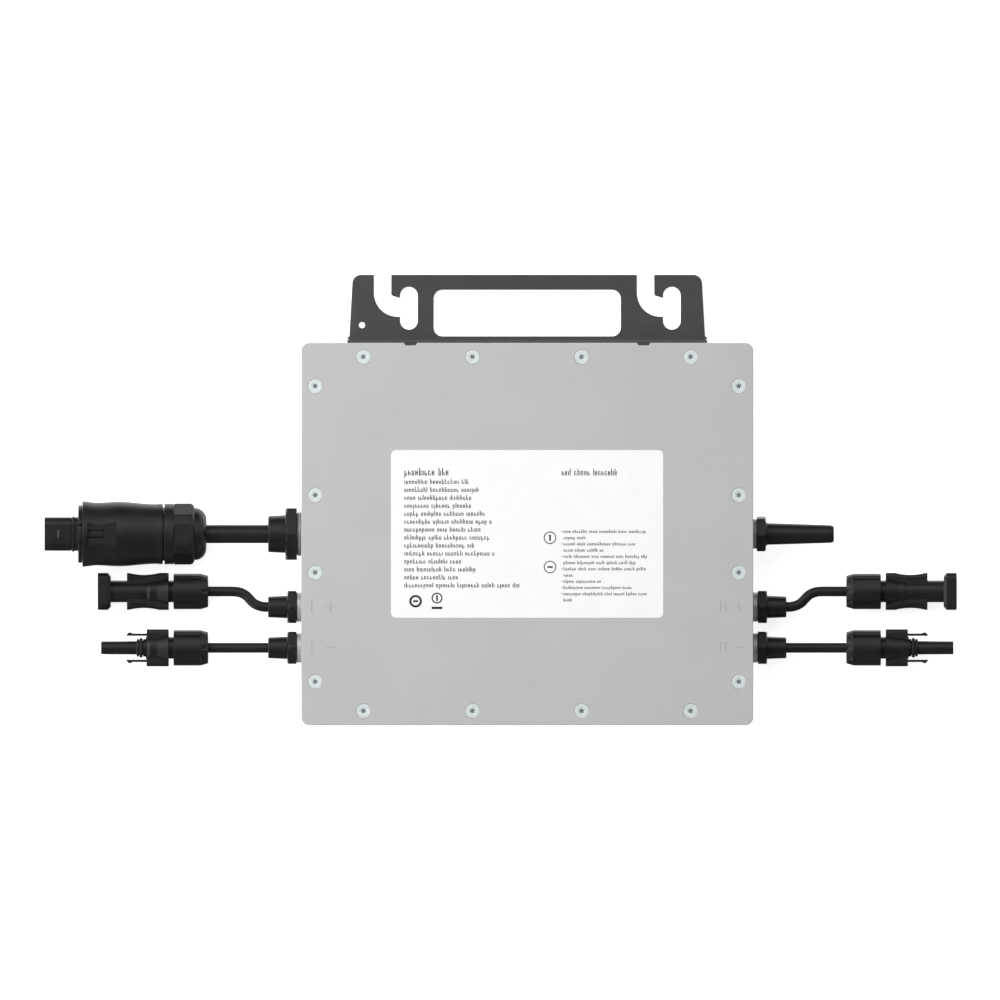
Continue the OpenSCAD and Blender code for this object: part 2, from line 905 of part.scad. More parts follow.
module minus_body(side) {
    pocket = arm_gap;
    color("black")
        outwards(side, minus_y, plug_z)
            difference() {
                union() {
                    plug_core(minus_block_1);
                    translate([0, 0, minus_block_1 - 1])
                        cylinder(r = seat_r, h = seat_1 - minus_block_1 + 1);
                    translate([0, 0, seat_1 - 1])
                        cylinder(r = barrel_r, h = barrel_1 - seat_1 + 1);
                }
                difference() {
                    translate([0, 0, seal_x - 0.95])
                        cylinder(r = seat_r + 1, h = 1.9);
                    translate([0, 0, seal_x - 2])
                        cylinder(r = 3.3, h = 4);
                }
                translate([0, 0, barrel_1 - 12])
                    cylinder(r = 2.1, h = 13);
                for (s = [left, right])
                    translate([-arm_w / 2 - pocket, s * arm_y - arm_t / 2 - pocket, arm_root - pocket])
                        cube([arm_w + 2 * pocket, arm_t + 2 * pocket, 4]);
            }
}

module minus_seal(side) {
    color("darkslategray")
        outwards(side, minus_y, plug_z)
            translate([0, 0, seal_x])
                rotate_extrude()
                    translate([4.2, 0])
                        circle(0.85);
}

module minus_contact(side) {
    color("gold")
        outwards(side, minus_y, plug_z)
            ring(barrel_1 - 12, barrel_1 - 0.6, 2.05, 1.3);
}

// A springy arm with a barb at its tip, which is pressed towards the barrel to let go
module latch_arm(side, up) {
    len = arm_tip - arm_root;
    color("black")
        outwards(side, minus_y + up * arm_y, plug_z)
            translate([-arm_w / 2, 0, arm_root])
                rotate([90, 0, 90])
                    linear_extrude(arm_w)
                        polygon([[-up * arm_t / 2, 0], [up * arm_t / 2, 0],
                                 [up * arm_t / 2, len - 2.4],
                                 [up * (arm_t / 2 + barb_h), len - 1.8],
                                 [up * arm_t / 2, len], [-up * arm_t / 2, len]]);
}

module plus_nut_a() { color("black") outwards(left, plus_plug_y, plug_z) plug_nut(); }
module plus_nut_b() { color("black") outwards(right, plus_plug_y, plug_z) plug_nut(); }
module plus_body_a() { plus_body(left); }
module plus_body_b() { plus_body(right); }
module plus_contact_a() { plus_contact(left); }
module plus_contact_b() { plus_contact(right); }
module minus_nut_a() { color("black") outwards(left, minus_y, plug_z) plug_nut(); }
module minus_nut_b() { color("black") outwards(right, minus_y, plug_z) plug_nut(); }
module minus_body_a() { minus_body(left); }
module minus_body_b() { minus_body(right); }
module minus_seal_a() { minus_seal(left); }
module minus_seal_b() { minus_seal(right); }
module minus_contact_a() { minus_contact(left); }
module minus_contact_b() { minus_contact(right); }
module latch_a_upper() { latch_arm(left, 1); }
module latch_a_lower() { latch_arm(left, -1); }
module latch_b_upper() { latch_arm(right, 1); }
module latch_b_lower() { latch_arm(right, -1); }

// ---------- inside the box ----------

module circuit_board() {
    color("darkgreen")
        difference() {
            translate([-board_w / 2, -board_h / 2, board_z])
                cube([board_w, board_h, board_t]);
            for (p = post_spots)
                translate([p[0], p[1], board_z - over])
                    cylinder(r = 1.6, h = board_t + 2 * over);
        }
}

module board_screws() {
    color("silver")
        for (p = post_spots)
            translate([p[0], p[1], board_top]) {
                cylinder(r = 2.8, h = 2);
                translate([0, 0, -5.2])
                    cylinder(r = 1.25, h = 5.3);
            }
}

// Soft pads that carry heat from the board's underside to the cast floor
module thermal_pads() {
    color("lightblue")
        for (x = [-45, 45], y = [-30, 36])
            translate([x - 24, y - 8, floor_z])
                cube([48, 16, board_z - floor_z]);
}

// Each block joins one lead to the board's edge
module terminal_blocks() {
    color("green") {
        for (s = [left, right], y = [plus_y, minus_y])
            translate([s * 97 - 7, y - 7, 4])
                cube([14, 14, 16]);
        translate([-104, -12, 4])
            cube([14, 24, 21]);
    }
}

core_spots = [[-40, 30], [40, 30]];

module transformer_cores() {
    color("dimgray")
        for (p = core_spots)
            translate([p[0] - 22, p[1] - 17, board_top])
                difference() {
                    cube([44, 34, 20]);
                    for (x = [5, 27])
                        translate([x, 6, -over])
                            cube([12, 22, 20 + 2 * over]);
                }
}

module transformer_windings() {
    color("orange")
        for (p = core_spots, x = [5.3, 27.3])
            translate([p[0] - 22 + x, p[1] - 17 + 6.3, board_top])
                cube([11.4, 21.4, 19.6]);
}

module dc_capacitors() {
    color("navy")
        for (x = [-68, -44, 44, 68])
            translate([x, -46, board_top])
                cylinder(r = 9, h = 21);
}

module power_transistors() {
    color("black")
        for (x = [-24, -8, 8, 24], y = [-50, -30])
            translate([x - 5, y - 2.3, board_top])
                cube([10, 4.6, 15]);
}

module relays() {
    color("white")
        for (y = [0, 24])
            translate([-82, y - 6, board_top])
                cube([14, 12, 16]);
}

module line_choke() {
    color("darkorange")
        translate([0, -4, board_top + 5.5])
            rotate_extrude()
                translate([10, 0])
                    circle(5.5);
}

// A small upright radio board
module radio_module() {
    color("teal")
        translate([84, -10, board_top])
            cube([1.6, 20, 14]);
}

// Coaxial lead from the radio board to the foot of the antenna
module antenna_lead() {
    color("gray")
        translate([85.6, 0, ac_z])
            rotate([0, 90, 0])
                cylinder(r = 0.9, h = half_w - 8 - 85.6);
}

housing();
cover_plate();
cover_gasket();
cover_screws();
rating_label();
hanger_bracket();
bracket_screws();
ac_gland_washer();
ac_gland_body();
ac_gland_cap();
ac_gland_locknut();
dc_gland_washers();
dc_gland_bodies();
dc_gland_caps();
dc_gland_locknuts();
antenna_washer();
antenna_base();
antenna_rod();
ac_lead_cable();
lead_a_plus();
lead_a_minus();
lead_b_plus();
lead_b_minus();
ac_plug_nut();
ac_plug_ring();
ac_plug_sleeve();
ac_plug_insert();
ac_plug_contacts();
ac_plug_tongue();
plus_nut_a();
plus_body_a();
plus_contact_a();
plus_nut_b();
plus_body_b();
plus_contact_b();
minus_nut_a();
minus_body_a();
minus_seal_a();
minus_contact_a();
latch_a_upper();
latch_a_lower();
minus_nut_b();
minus_body_b();
minus_seal_b();
minus_contact_b();
latch_b_upper();
latch_b_lower();
circuit_board();
board_screws();
thermal_pads();
terminal_blocks();
transformer_cores();
transformer_windings();
dc_capacitors();
power_transistors();
relays();
line_choke();
radio_module();
antenna_lead();
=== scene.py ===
"""Looks of a solar micro inverter that lies on its back: cast box, screwed cover, label, bent hanger,
cable glands, four solar leads, one mains lead and a whip antenna. Lengths are in millimetres until a
piece is finished; x is the distance from the middle of the box and is mirrored for the left side."""
import math
import random

import bmesh
import bpy
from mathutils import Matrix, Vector
from mathutils.geometry import tessellate_polygon


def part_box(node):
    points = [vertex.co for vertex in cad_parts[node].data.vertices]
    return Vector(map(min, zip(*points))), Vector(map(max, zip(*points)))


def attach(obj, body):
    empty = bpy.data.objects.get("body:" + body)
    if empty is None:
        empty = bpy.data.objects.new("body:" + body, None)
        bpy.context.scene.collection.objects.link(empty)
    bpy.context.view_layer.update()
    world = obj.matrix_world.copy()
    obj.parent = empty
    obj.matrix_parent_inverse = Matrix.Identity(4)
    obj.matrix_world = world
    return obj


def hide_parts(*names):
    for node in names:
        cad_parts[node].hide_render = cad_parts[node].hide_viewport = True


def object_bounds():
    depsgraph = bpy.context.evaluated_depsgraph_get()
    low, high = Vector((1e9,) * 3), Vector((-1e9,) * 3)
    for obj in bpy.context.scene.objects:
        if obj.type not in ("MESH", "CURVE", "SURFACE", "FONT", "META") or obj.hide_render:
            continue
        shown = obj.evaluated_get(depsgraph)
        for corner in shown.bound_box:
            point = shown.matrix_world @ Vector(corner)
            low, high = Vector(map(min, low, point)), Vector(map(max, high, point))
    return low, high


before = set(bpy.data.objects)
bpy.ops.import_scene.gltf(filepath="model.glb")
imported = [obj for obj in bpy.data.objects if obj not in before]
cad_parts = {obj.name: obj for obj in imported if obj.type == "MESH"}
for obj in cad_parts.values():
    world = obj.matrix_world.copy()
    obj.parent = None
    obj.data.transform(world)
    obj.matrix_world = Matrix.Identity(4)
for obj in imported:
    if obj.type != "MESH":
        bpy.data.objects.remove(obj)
cad_box = [list(corner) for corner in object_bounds()]

MM = 0.001
LEFT, RIGHT = -1, 1
TURN = [i * 2.5 for i in range(144)]      # angles of a round section, from +Z towards +Y
ROOT = "inverter"
SHARP_FROM = 34      # edges bent by more degrees than this stay sharp
WELD = 0.0004        # points closer than this are one point


# ---------- measures taken from the frame ----------

def reach(node):
    """Nearest and furthest distance of a node on one side of the box from its middle."""
    low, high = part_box(node)
    return sorted((abs(low.x) / MM, abs(high.x) / MM))


def axis_of(node):
    """Where a round node's axis along X runs, as (y, z)."""
    low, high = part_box(node)
    return (low.y + high.y) / 2 / MM, (low.z + high.z) / 2 / MM


def size_of(node):
    """A node's length along X, Y and Z."""
    low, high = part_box(node)
    return tuple((high[i] - low[i]) / MM for i in range(3))


def outlines(node, level, up):
    """Outlines of a node's flat faces at that height that face up (1) or down (-1), the widest first."""
    bm = bmesh.new()
    bm.from_mesh(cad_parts[node].data)
    bmesh.ops.remove_doubles(bm, verts=bm.verts, dist=1e-6)
    bm.normal_update()
    near = 2e-5
    steps = {}
    for face in bm.faces:
        if face.normal.z * up > 0.99 and abs(face.calc_center_median().z - level * MM) < near:
            for loop in face.loops:
                steps[(loop.vert.index, loop.link_loop_next.vert.index)] = True
    after = {a: b for a, b in steps if (b, a) not in steps}
    spots = {v.index: (v.co.x / MM, v.co.y / MM) for v in bm.verts}
    bm.free()
    found = []
    while after:
        start, here = after.popitem()
        ring = [start]
        while here != start and here in after:
            ring.append(here)
            here = after.pop(here)
        found.append([Vector(spots[i]) for i in ring])
    return sorted(found, key=width_of, reverse=True)


def width_of(outline):
    return max(p.x for p in outline) - min(p.x for p in outline)


def middle_of(outline):
    return sum((Vector(p) for p in outline), Vector((0, 0))) / len(outline)


# ---------- shapes ----------

def rounded(points, steps=4, closed=True):
    """Outline in which a point's third number is the radius of its corner."""
    out = []
    count = len(points)
    for i, point in enumerate(points):
        corner = Vector(point[:2])
        radius = point[2] if len(point) > 2 else 0
        if not radius or (not closed and i in (0, count - 1)):
            out.append(corner)
            continue
        back = Vector(points[i - 1][:2]) - corner
        ahead = Vector(points[(i + 1) % count][:2]) - corner
        half = back.angle(ahead) / 2
        cut = min(radius / math.tan(half), 0.49 * back.length, 0.49 * ahead.length)
        back.normalize()
        ahead.normalize()
        centre = corner + (back + ahead).normalized() * cut / math.cos(half)
        start = corner + back * cut - centre
        end = corner + ahead * cut - centre
        turn = math.pi - 2 * half
        for k in range(steps + 1):
            t = k / steps
            arc = start * math.sin((1 - t) * turn) + end * math.sin(t * turn)
            out.append(centre + arc / math.sin(turn))
    return out


def box_outline(wide, high, radius, steps=4, centre=(0, 0)):
    """A rectangle with rounded corners."""
    cx, cy = centre
    corners = ((-1, -1), (1, -1), (1, 1), (-1, 1))
    return rounded([(cx + a * wide / 2, cy + b * high / 2, radius) for a, b in corners], steps)


def shrunk(outline, by):
    """The outline moved inwards; a negative number moves it outwards."""
    points = [Vector(p[:2]) for p in outline]
    area = sum(a.cross(b) for a, b in zip(points, points[1:] + points[:1]))
    side = 1 if area > 0 else -1
    out = []
    for i, point in enumerate(points):
        a = (point - points[i - 1]).normalized()
        b = (points[(i + 1) % len(points)] - point).normalized()
        inward_a = Vector((-a.y, a.x)) * side
        inward_b = Vector((-b.y, b.x)) * side
        out.append(point + (inward_a + inward_b) * by / max(1 + inward_a.dot(inward_b), 0.3))
    return out


def levels_of(low, high, edge):
    """Levels of a bar or plate with rounded rims, as (level, shrink)."""
    turns = [k * math.pi / 6 for k in range(4)]
    rim = [(edge * (1 - math.cos(a)), edge * (1 - math.sin(a))) for a in turns]
    return [(low + d, s) for d, s in rim] + [(high - d, s) for d, s in reversed(rim)]


def hexagon(across, corner=0):
    """Radius of a hexagon at an angle; corner is the angle of one of its corners."""
    return lambda a: across / 2 / math.cos(math.radians((a - corner) % 60 - 30))


def rectangle(wide, high, radius):
    """Radius at an angle of a rounded rectangle that is wide along Y and high along Z."""
    def at(angle):
        y, z = abs(math.sin(math.radians(angle))), abs(math.cos(math.radians(angle)))
        flat = min(wide / 2 / max(y, 1e-9), high / 2 / max(z, 1e-9))
        cy, cz = wide / 2 - radius, high / 2 - radius
        if flat * y <= cy or flat * z <= cz:
            return flat
        along = cy * y + cz * z
        return along + math.sqrt(max(along ** 2 - cy ** 2 - cz ** 2 + radius ** 2, 0))
    return at


def least(*sections):
    """The section that lies inside all of the given ones; each is a radius or a radius by angle."""
    return lambda a: min(s(a) if callable(s) else s for s in sections)


class Shape:
    """Collects a piece's faces. Closed shells that overlap may share one Shape."""

    def __init__(self):
        self.bm = bmesh.new()

    def loft(self, rings, closed=False, caps=(True, True)):
        rows = [[self.bm.verts.new(p) for p in ring] for ring in rings]
        following = rows[1:] + (rows[:1] if closed else [])
        for a, b in zip(rows, following):
            for i, vert in enumerate(a):
                j = (i + 1) % len(a)
                self.bm.faces.new((vert, a[j], b[j], b[i]))
        if caps[0] and not closed:
            self.bm.faces.new(rows[0][::-1])
        if caps[1] and not closed:
            self.bm.faces.new(rows[-1])
        return rows

    def fill(self, rows):
        """Fills between an outer ring of vertices and the holes in it."""
        flat = [vert for row in rows for vert in row]
        for face in tessellate_polygon([[vert.co for vert in row] for row in rows]):
            self.bm.faces.new([flat[i] for i in face])

    def turned(self, stations, axis, closed=False, angles=TURN):
        """A round solid along X. A station is (distance, radius or radius by angle)."""
        y0, z0 = axis
        rings = []
        for x, section in stations:
            ring = []
            for a in angles:
                r = section(a) if callable(section) else section
                ring.append((x, y0 + r * math.sin(math.radians(a)), z0 + r * math.cos(math.radians(a))))
            rings.append(ring)
        self.loft(rings, closed)

    def plate(self, outline, low, high, edge, holes=(), cuts_low=(), cuts_high=(), place=None):
        """A flat plate with rounded rims. A cut is (outline, [(depth, shrink), ...]) from its own face."""
        place = place or (lambda u, v, w: (u, v, w))
        levels = levels_of(low, high, edge)

        def ring(loop, level, shrink):
            return [place(p.x, p.y, level) for p in shrunk(loop, shrink)]

        outer = self.loft([ring(outline, w, s) for w, s in levels], caps=(False, False))
        lows, highs = [outer[0]], [outer[-1]]
        for hole in holes:
            rows = self.loft([ring(hole, w, -s) for w, s in levels], caps=(False, False))
            lows.append(rows[0])
            highs.append(rows[-1])
        for cuts, face, sign, kept in ((cuts_low, low, 1, lows), (cuts_high, high, -1, highs)):
            for loop, depths in cuts:
                rings = [ring(loop, face + sign * d, s) for d, s in depths]
                kept.append(self.loft(rings, caps=(False, True))[0])
        self.fill(lows)
        self.fill(highs)

    def bar(self, outline, x0, x1, edge, middle=None):
        """A bar along X with rounded ends. The outline is (y, z); middle changes it by distance."""
        stations = levels_of(x0, x1, edge)
        if middle:
            span = x1 - x0 - 2 * edge
            stations[4:4] = [(x0 + edge + span * k / 20, 0) for k in range(1, 20)]
        rings = []
        for x, shrink in stations:
            loop = middle(x) if middle else outline
            rings.append([(x, p.x, p.y) for p in shrunk(loop, shrink)])
        self.loft(rings)

    def block(self, low, high):
        """A small sharp box, for print and for cutting; gives the shape."""
        (x0, y0, z0), (x1, y1, z1) = low, high
        self.loft([[(x0, y0, z), (x1, y0, z), (x1, y1, z), (x0, y1, z)] for z in (z0, z1)])
        return self

    def loose(self):
        """A helper object for cutting."""
        bmesh.ops.remove_doubles(self.bm, verts=self.bm.verts, dist=WELD)
        bmesh.ops.recalc_face_normals(self.bm, faces=self.bm.faces)
        mesh = bpy.data.meshes.new("helper")
        self.bm.to_mesh(mesh)
        self.bm.free()
        obj = bpy.data.objects.new("helper", mesh)
        bpy.context.scene.collection.objects.link(obj)
        return obj

    def without(self, *knives):
        """This shape with the other shapes cut out of it."""
        body = self.loose()
        tools = [knife.loose() for knife in knives]
        for tool in tools:
            cut = body.modifiers.new("cut", "BOOLEAN")
            cut.operation = "DIFFERENCE"
            cut.solver = "EXACT"
            cut.object = tool
        bpy.context.view_layer.update()
        result = Shape()
        done = body.evaluated_get(bpy.context.evaluated_depsgraph_get())
        result.bm.from_mesh(done.to_mesh())
        done.to_mesh_clear()
        for obj in (body, *tools):
            bpy.data.objects.remove(obj)
        return result

    def add(self, other):
        """Takes in another shape's faces."""
        mesh = bpy.data.meshes.new("helper")
        other.bm.to_mesh(mesh)
        other.bm.free()
        self.bm.from_mesh(mesh)
        bpy.data.meshes.remove(mesh)

    def piece(self, name, slot, side=RIGHT, body=ROOT, stands_for=(), finish=None):
        """Turns the faces into a piece of the object; its finish is the slot's own unless one is named."""
        bm = self.bm
        bmesh.ops.remove_doubles(bm, verts=bm.verts, dist=WELD)
        bmesh.ops.scale(bm, vec=(side * MM, MM, MM), verts=bm.verts)
        bmesh.ops.recalc_face_normals(bm, faces=bm.faces)
        mesh = bpy.data.meshes.new(name)
        bm.to_mesh(mesh)
        bm.free()
        mesh.shade_smooth()
        mesh.set_sharp_from_angle(angle=math.radians(SHARP_FROM))
        mesh.materials.append(finish_of(finish or slot))
        obj = bpy.data.objects.new(name, mesh)
        bpy.context.scene.collection.objects.link(obj)
        even = obj.modifiers.new("even shading", "WEIGHTED_NORMAL")
        even.keep_sharp = True
        even.weight = 80
        if stands_for:
            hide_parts(*stands_for)
        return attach(obj, body)


# ---------- materials ----------

def add_node(tree, kind, **values):
    """A new shader node; the values are for its inputs, with _ for a space in their names."""
    node = tree.nodes.new("ShaderNode" + kind)
    for name, value in values.items():
        node.inputs[name.replace("_", " ")].default_value = value
    return node


def surface(name, dark, light, rough, metallic=0.0, mottle=60, grain=1800, bump=0.00002, strength=0.4,
            stretch=(1, 1, 1), wear=None):
    """A material with mottled colour, uneven roughness, a fine relief and, if wear is given, paler edges."""
    material = bpy.data.materials.new(name)
    material.use_nodes = True
    tree = material.node_tree
    link = tree.links.new
    shader = tree.nodes["Principled BSDF"]
    shader.inputs["Metallic"].default_value = metallic
    place = add_node(tree, "TexCoord")
    scaled = add_node(tree, "Mapping", Scale=stretch)
    link(place.outputs["Object"], scaled.inputs["Vector"])

    def noise(scale, detail):
        node = add_node(tree, "TexNoise", Scale=scale, Detail=detail)
        link(scaled.outputs["Vector"], node.inputs["Vector"])
        return node.outputs["Fac"]

    def ramp(source, low, high, first, last):
        node = add_node(tree, "ValToRGB")
        ends = node.color_ramp.elements
        ends[0].position, ends[1].position = low, high
        ends[0].color, ends[1].color = (*first, 1), (*last, 1)
        link(source, node.inputs["Fac"])
        return node.outputs["Color"]

    cloud = noise(mottle, 5)
    fine = noise(grain, 3)
    blend = add_node(tree, "Mix", Factor=0.45)
    link(cloud, blend.inputs["A"])
    link(fine, blend.inputs["B"])
    colour = ramp(blend.outputs["Result"], 0.36, 0.64, dark, light)
    if wear:
        edges = add_node(tree, "NewGeometry")
        share = ramp(edges.outputs["Pointiness"], 0.53, 0.6, grey(0), grey(0.6))
        worn = add_node(tree, "Mix")
        worn.data_type = "RGBA"
        worn.inputs["B"].default_value = (*wear, 1)
        link(share, worn.inputs["Factor"])
        link(colour, worn.inputs["A"])
        colour = worn.outputs["Result"]
    link(colour, shader.inputs["Base Color"])
    spread = add_node(tree, "MapRange", From_Min=0.3, From_Max=0.7, To_Min=rough[0], To_Max=rough[1])
    link(blend.outputs["Result"], spread.inputs["Value"])
    link(spread.outputs["Result"], shader.inputs["Roughness"])
    relief = add_node(tree, "Bump", Strength=strength, Distance=bump)
    link(fine, relief.inputs["Height"])
    link(relief.outputs["Normal"], shader.inputs["Normal"])
    return material


def grey(value):
    return (value, value, value)


BLACK_LOW, BLACK_HIGH = grey(0.009), grey(0.014)
LOOKS = {
    "cast_housing": dict(dark=(0.44, 0.44, 0.45), light=(0.52, 0.52, 0.53), rough=(0.42, 0.6), metallic=0.35,
                         mottle=45, grain=1400, bump=0.00005, wear=(0.66, 0.66, 0.67)),
    "cover_metal": dict(dark=grey(0.515), light=grey(0.545), rough=(0.46, 0.58), metallic=0.15, mottle=25,
                        grain=2600, strength=0.3),
    "gasket_rubber": dict(dark=grey(0.012), light=grey(0.02), rough=(0.7, 0.85), grain=1500),
    "zinc_screws": dict(dark=(0.7, 0.76, 0.755), light=(0.8, 0.86, 0.855), rough=(0.3, 0.42), metallic=0.25,
                        mottle=400, grain=3000, bump=0.00001),
    "label_film": dict(dark=grey(0.92), light=grey(0.95), rough=(0.3, 0.4), mottle=80, bump=0.000006,
                       strength=0.2),
    "hanger_steel": dict(dark=grey(0.05), light=grey(0.062), rough=(0.55, 0.68), mottle=70, grain=1500,
                         bump=0.00004, strength=0.5, wear=grey(0.08)),
    "grey_washer": dict(dark=grey(0.36), light=grey(0.45), rough=(0.32, 0.45), metallic=0.3, mottle=300,
                        grain=2200),
    "bright_washer": dict(dark=grey(0.62), light=grey(0.78), rough=(0.25, 0.4), metallic=0.6, mottle=300,
                          grain=2600, bump=0.00001),
    "black_nylon": dict(dark=BLACK_LOW, light=BLACK_HIGH, rough=(0.27, 0.37), mottle=150, grain=2600),
    "antenna_rubber": dict(dark=grey(0.009), light=grey(0.013), rough=(0.3, 0.4), mottle=150, grain=2200,
                           bump=0.00003),
    "lead_sheath": dict(dark=BLACK_LOW, light=BLACK_HIGH, rough=(0.28, 0.4), mottle=120, grain=2400,
                        stretch=(0.12, 1, 1)),
    "plug_black": dict(dark=BLACK_LOW, light=BLACK_HIGH, rough=(0.28, 0.38), mottle=120, grain=2800,
                       bump=0.000025),
    "contact_metal": dict(dark=(0.62, 0.5, 0.26), light=(0.8, 0.67, 0.38), rough=(0.2, 0.34), metallic=1.0,
                          mottle=400, grain=3000),
    "board_green": dict(dark=(0.01, 0.09, 0.035), light=(0.015, 0.15, 0.055), rough=(0.3, 0.45), mottle=140,
                        grain=900, bump=0.00004),
    "pad_silicone": dict(dark=(0.28, 0.36, 0.42), light=(0.36, 0.45, 0.52), rough=(0.6, 0.75), mottle=200),
    "terminal_green": dict(dark=(0.02, 0.2, 0.06), light=(0.03, 0.28, 0.09), rough=(0.35, 0.5), mottle=200),
    "ferrite": dict(dark=grey(0.025), light=grey(0.05), rough=(0.5, 0.7), mottle=300, grain=1600),
    "winding_tape": dict(dark=(0.6, 0.42, 0.03), light=(0.75, 0.55, 0.06), rough=(0.25, 0.4), mottle=120,
                         stretch=(1, 1, 6)),
    "capacitor_sleeve": dict(dark=(0.012, 0.02, 0.05), light=(0.02, 0.035, 0.08), rough=(0.25, 0.4),
                             mottle=200),
    "part_epoxy": dict(dark=grey(0.015), light=grey(0.028), rough=(0.45, 0.65), mottle=300, grain=2000),
}
# Finishes that go on part of a slot's pieces
OTHER_LOOKS = {
    "print_ink": dict(dark=grey(0.012), light=grey(0.03), rough=(0.4, 0.55), mottle=300, grain=2500,
                      bump=0.000005),
    # painted shade: darker grey for the floors of the cover's recessed port marks
    "mark_painted_shade": dict(dark=grey(0.44), light=grey(0.48), rough=(0.5, 0.65), mottle=300),
    "catch_grey": dict(dark=grey(0.05), light=grey(0.075), rough=(0.4, 0.5), mottle=300),
    # painted shade: a darker copy of bright_washer for the solar washers on the right
    "painted_shade_zinc": dict(dark=grey(0.5), light=grey(0.62), rough=(0.3, 0.45), metallic=0.6, mottle=300,
                      grain=2600, bump=0.00001),
    # painted shade: darker grey for the floors of the screws' star recesses
    "socket_painted_shade": dict(dark=(0.16, 0.2, 0.2), light=(0.24, 0.28, 0.28), rough=(0.35, 0.5), metallic=0.3,
                        mottle=600),
}
made = {}


def finish_of(name):
    if name not in made:
        made[name] = surface(name, **{**LOOKS, **OTHER_LOOKS}[name])
    return made[name]


# Finish of each node that stays as the frame has it
KEPT_NODES = {
    "gasket_rubber": ["cover_gasket"],
    "bright_washer": ["ac_gland_locknut", "dc_gland_locknuts"],
    "contact_metal": ["ac_plug_contacts", "plus_contact_a", "plus_contact_b", "minus_contact_a",
                      "minus_contact_b"],
    "board_green": ["circuit_board", "radio_module"],
    "zinc_screws": ["board_screws"],
    "pad_silicone": ["thermal_pads"],
    "terminal_green": ["terminal_blocks"],
    "ferrite": ["transformer_cores", "line_choke"],
    "winding_tape": ["transformer_windings"],
    "capacitor_sleeve": ["dc_capacitors"],
    "part_epoxy": ["power_transistors", "relays"],
    "lead_sheath": ["antenna_lead"],
}


def dress_kept_nodes():
    for slot, names in KEPT_NODES.items():
        for name in names:
            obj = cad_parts[name]
            obj.data.materials.clear()
            obj.data.materials.append(finish_of(slot))


# ---------- camera ----------

def make_camera():
    """Looks straight down at the cover, with the whole object in the frame."""
    low, high = (Vector(corner) for corner in cad_box)
    margin = 1.096        # of the object's length
    aside = 0.0003
    above = 0.7
    data = bpy.data.cameras.new("camera")
    data.type = "ORTHO"
    data.ortho_scale = (high.x - low.x) * margin
    camera = bpy.data.objects.new("camera", data)
    camera.location = ((low.x + high.x) / 2 - aside, (low.y + high.y) / 2, above)
    bpy.context.scene.collection.objects.link(camera)
    bpy.context.scene.camera = camera


# ---------- leads ----------

# Routes as in the design: distance from the middle, y, height
AC_ROUTE = [(x, 0, 17) for x in (104, *range(110, 171, 5), 176)]
MINUS_ROUTE = [
    (104, -57.9, 11), (110, -57.9, 11), (116, -57.9, 11), (122, -57.9, 11), (128, -57.9, 11),
    (133, -57.9, 11), (137, -57.9, 10.9), (141, -57.9, 10.6), (145, -57.9, 10.2),
    (149, -57.9, 9.8), (153, -57.9, 9.5), (157, -57.9, 9.35), (161, -57.9, 9.3),
    (166, -57.9, 9.3), (172, -57.9, 9.3)]
PLUS_ROUTE = [
    (104, -37.1, 11), (114, -37.1, 11), (124, -37.1, 11), (132, -37.1, 11),
    (135, -36.9, 10.9), (137.5, -36.1, 10.8), (139.5, -34.9, 10.6), (141.2, -33.15, 10.5),
    (142.9, -31.4, 10.3), (144.9, -30.2, 10.1), (147.4, -29.4, 9.8), (150.4, -29.2, 9.6),
    (155, -29.2, 9.4), (162, -29.2, 9.3), (172, -29.2, 9.3)]
AC_LEAD, DC_LEAD = 9.3, 5.1      # diameters


def smooth(points, parts=4):
    """Points along a smooth curve through the given ones."""
    points = [Vector(p) for p in points]
    out = []
    for i in range(len(points) - 1):
        before = points[max(i - 1, 0)]
        a, b = points[i], points[i + 1]
        after = points[min(i + 2, len(points) - 1)]
        for k in range(parts):
            t = k / parts
            out.append(0.5 * (2 * a + (b - before) * t + (2 * before - 5 * a + 4 * b - after) * t ** 2
                              + (3 * a - before - 3 * b + after) * t ** 3))
    return out + [points[-1]]


def make_lead(name, node, side, route, diameter):
    """A sheathed lead; gives its piece and its line in metres."""
    line = smooth(route)
    around = [2 * math.pi * k / 32 for k in range(32)]
    shape = Shape()
    rings = []
    for i, point in enumerate(line):
        ahead = (line[min(i + 1, len(line) - 1)] - line[max(i - 1, 0)]).normalized()
        across = ahead.cross(Vector((0, 0, 1))).normalized()
        above = across.cross(ahead)
        rings.append([point + diameter / 2 * (across * math.cos(a) + above * math.sin(a)) for a in around])
    shape.loft(rings)
    piece = shape.piece(name, "lead_sheath", side, stands_for=[node])
    return piece, [(side * p.x * MM, p.y * MM, p.z * MM) for p in line]


# ---------- box ----------

def make_housing():
    """The casting, with grooves in its back; a screw rim round its mouth is thicker than its walls."""
    width, height, top = size_of("housing")
    back = outlines("housing", 0, -1)
    groove = [(0, -0.7), (0.12, -0.35), (0.4, -0.1), (0.8, 0), (3.2, 0.2), (3.7, 0.45), (3.95, 1.0)]
    rim = 15
    wall = 3
    opening = box_outline(width - 2 * rim, height - 2 * rim, 4, 5)
    cavity = [(0, -0.3), (0.3, 0), (7, 0), (7.001, wall - rim), (top - 7.6, wall - rim),
              (top - 7, wall - rim + 0.6)]
    shape = Shape()
    shape.plate(back[0], 0, top, 0.7, cuts_low=[(loop, groove) for loop in back[1:]],
                cuts_high=[(opening, cavity)])
    shape.piece("housing_casting", "cast_housing", stands_for=["housing"])


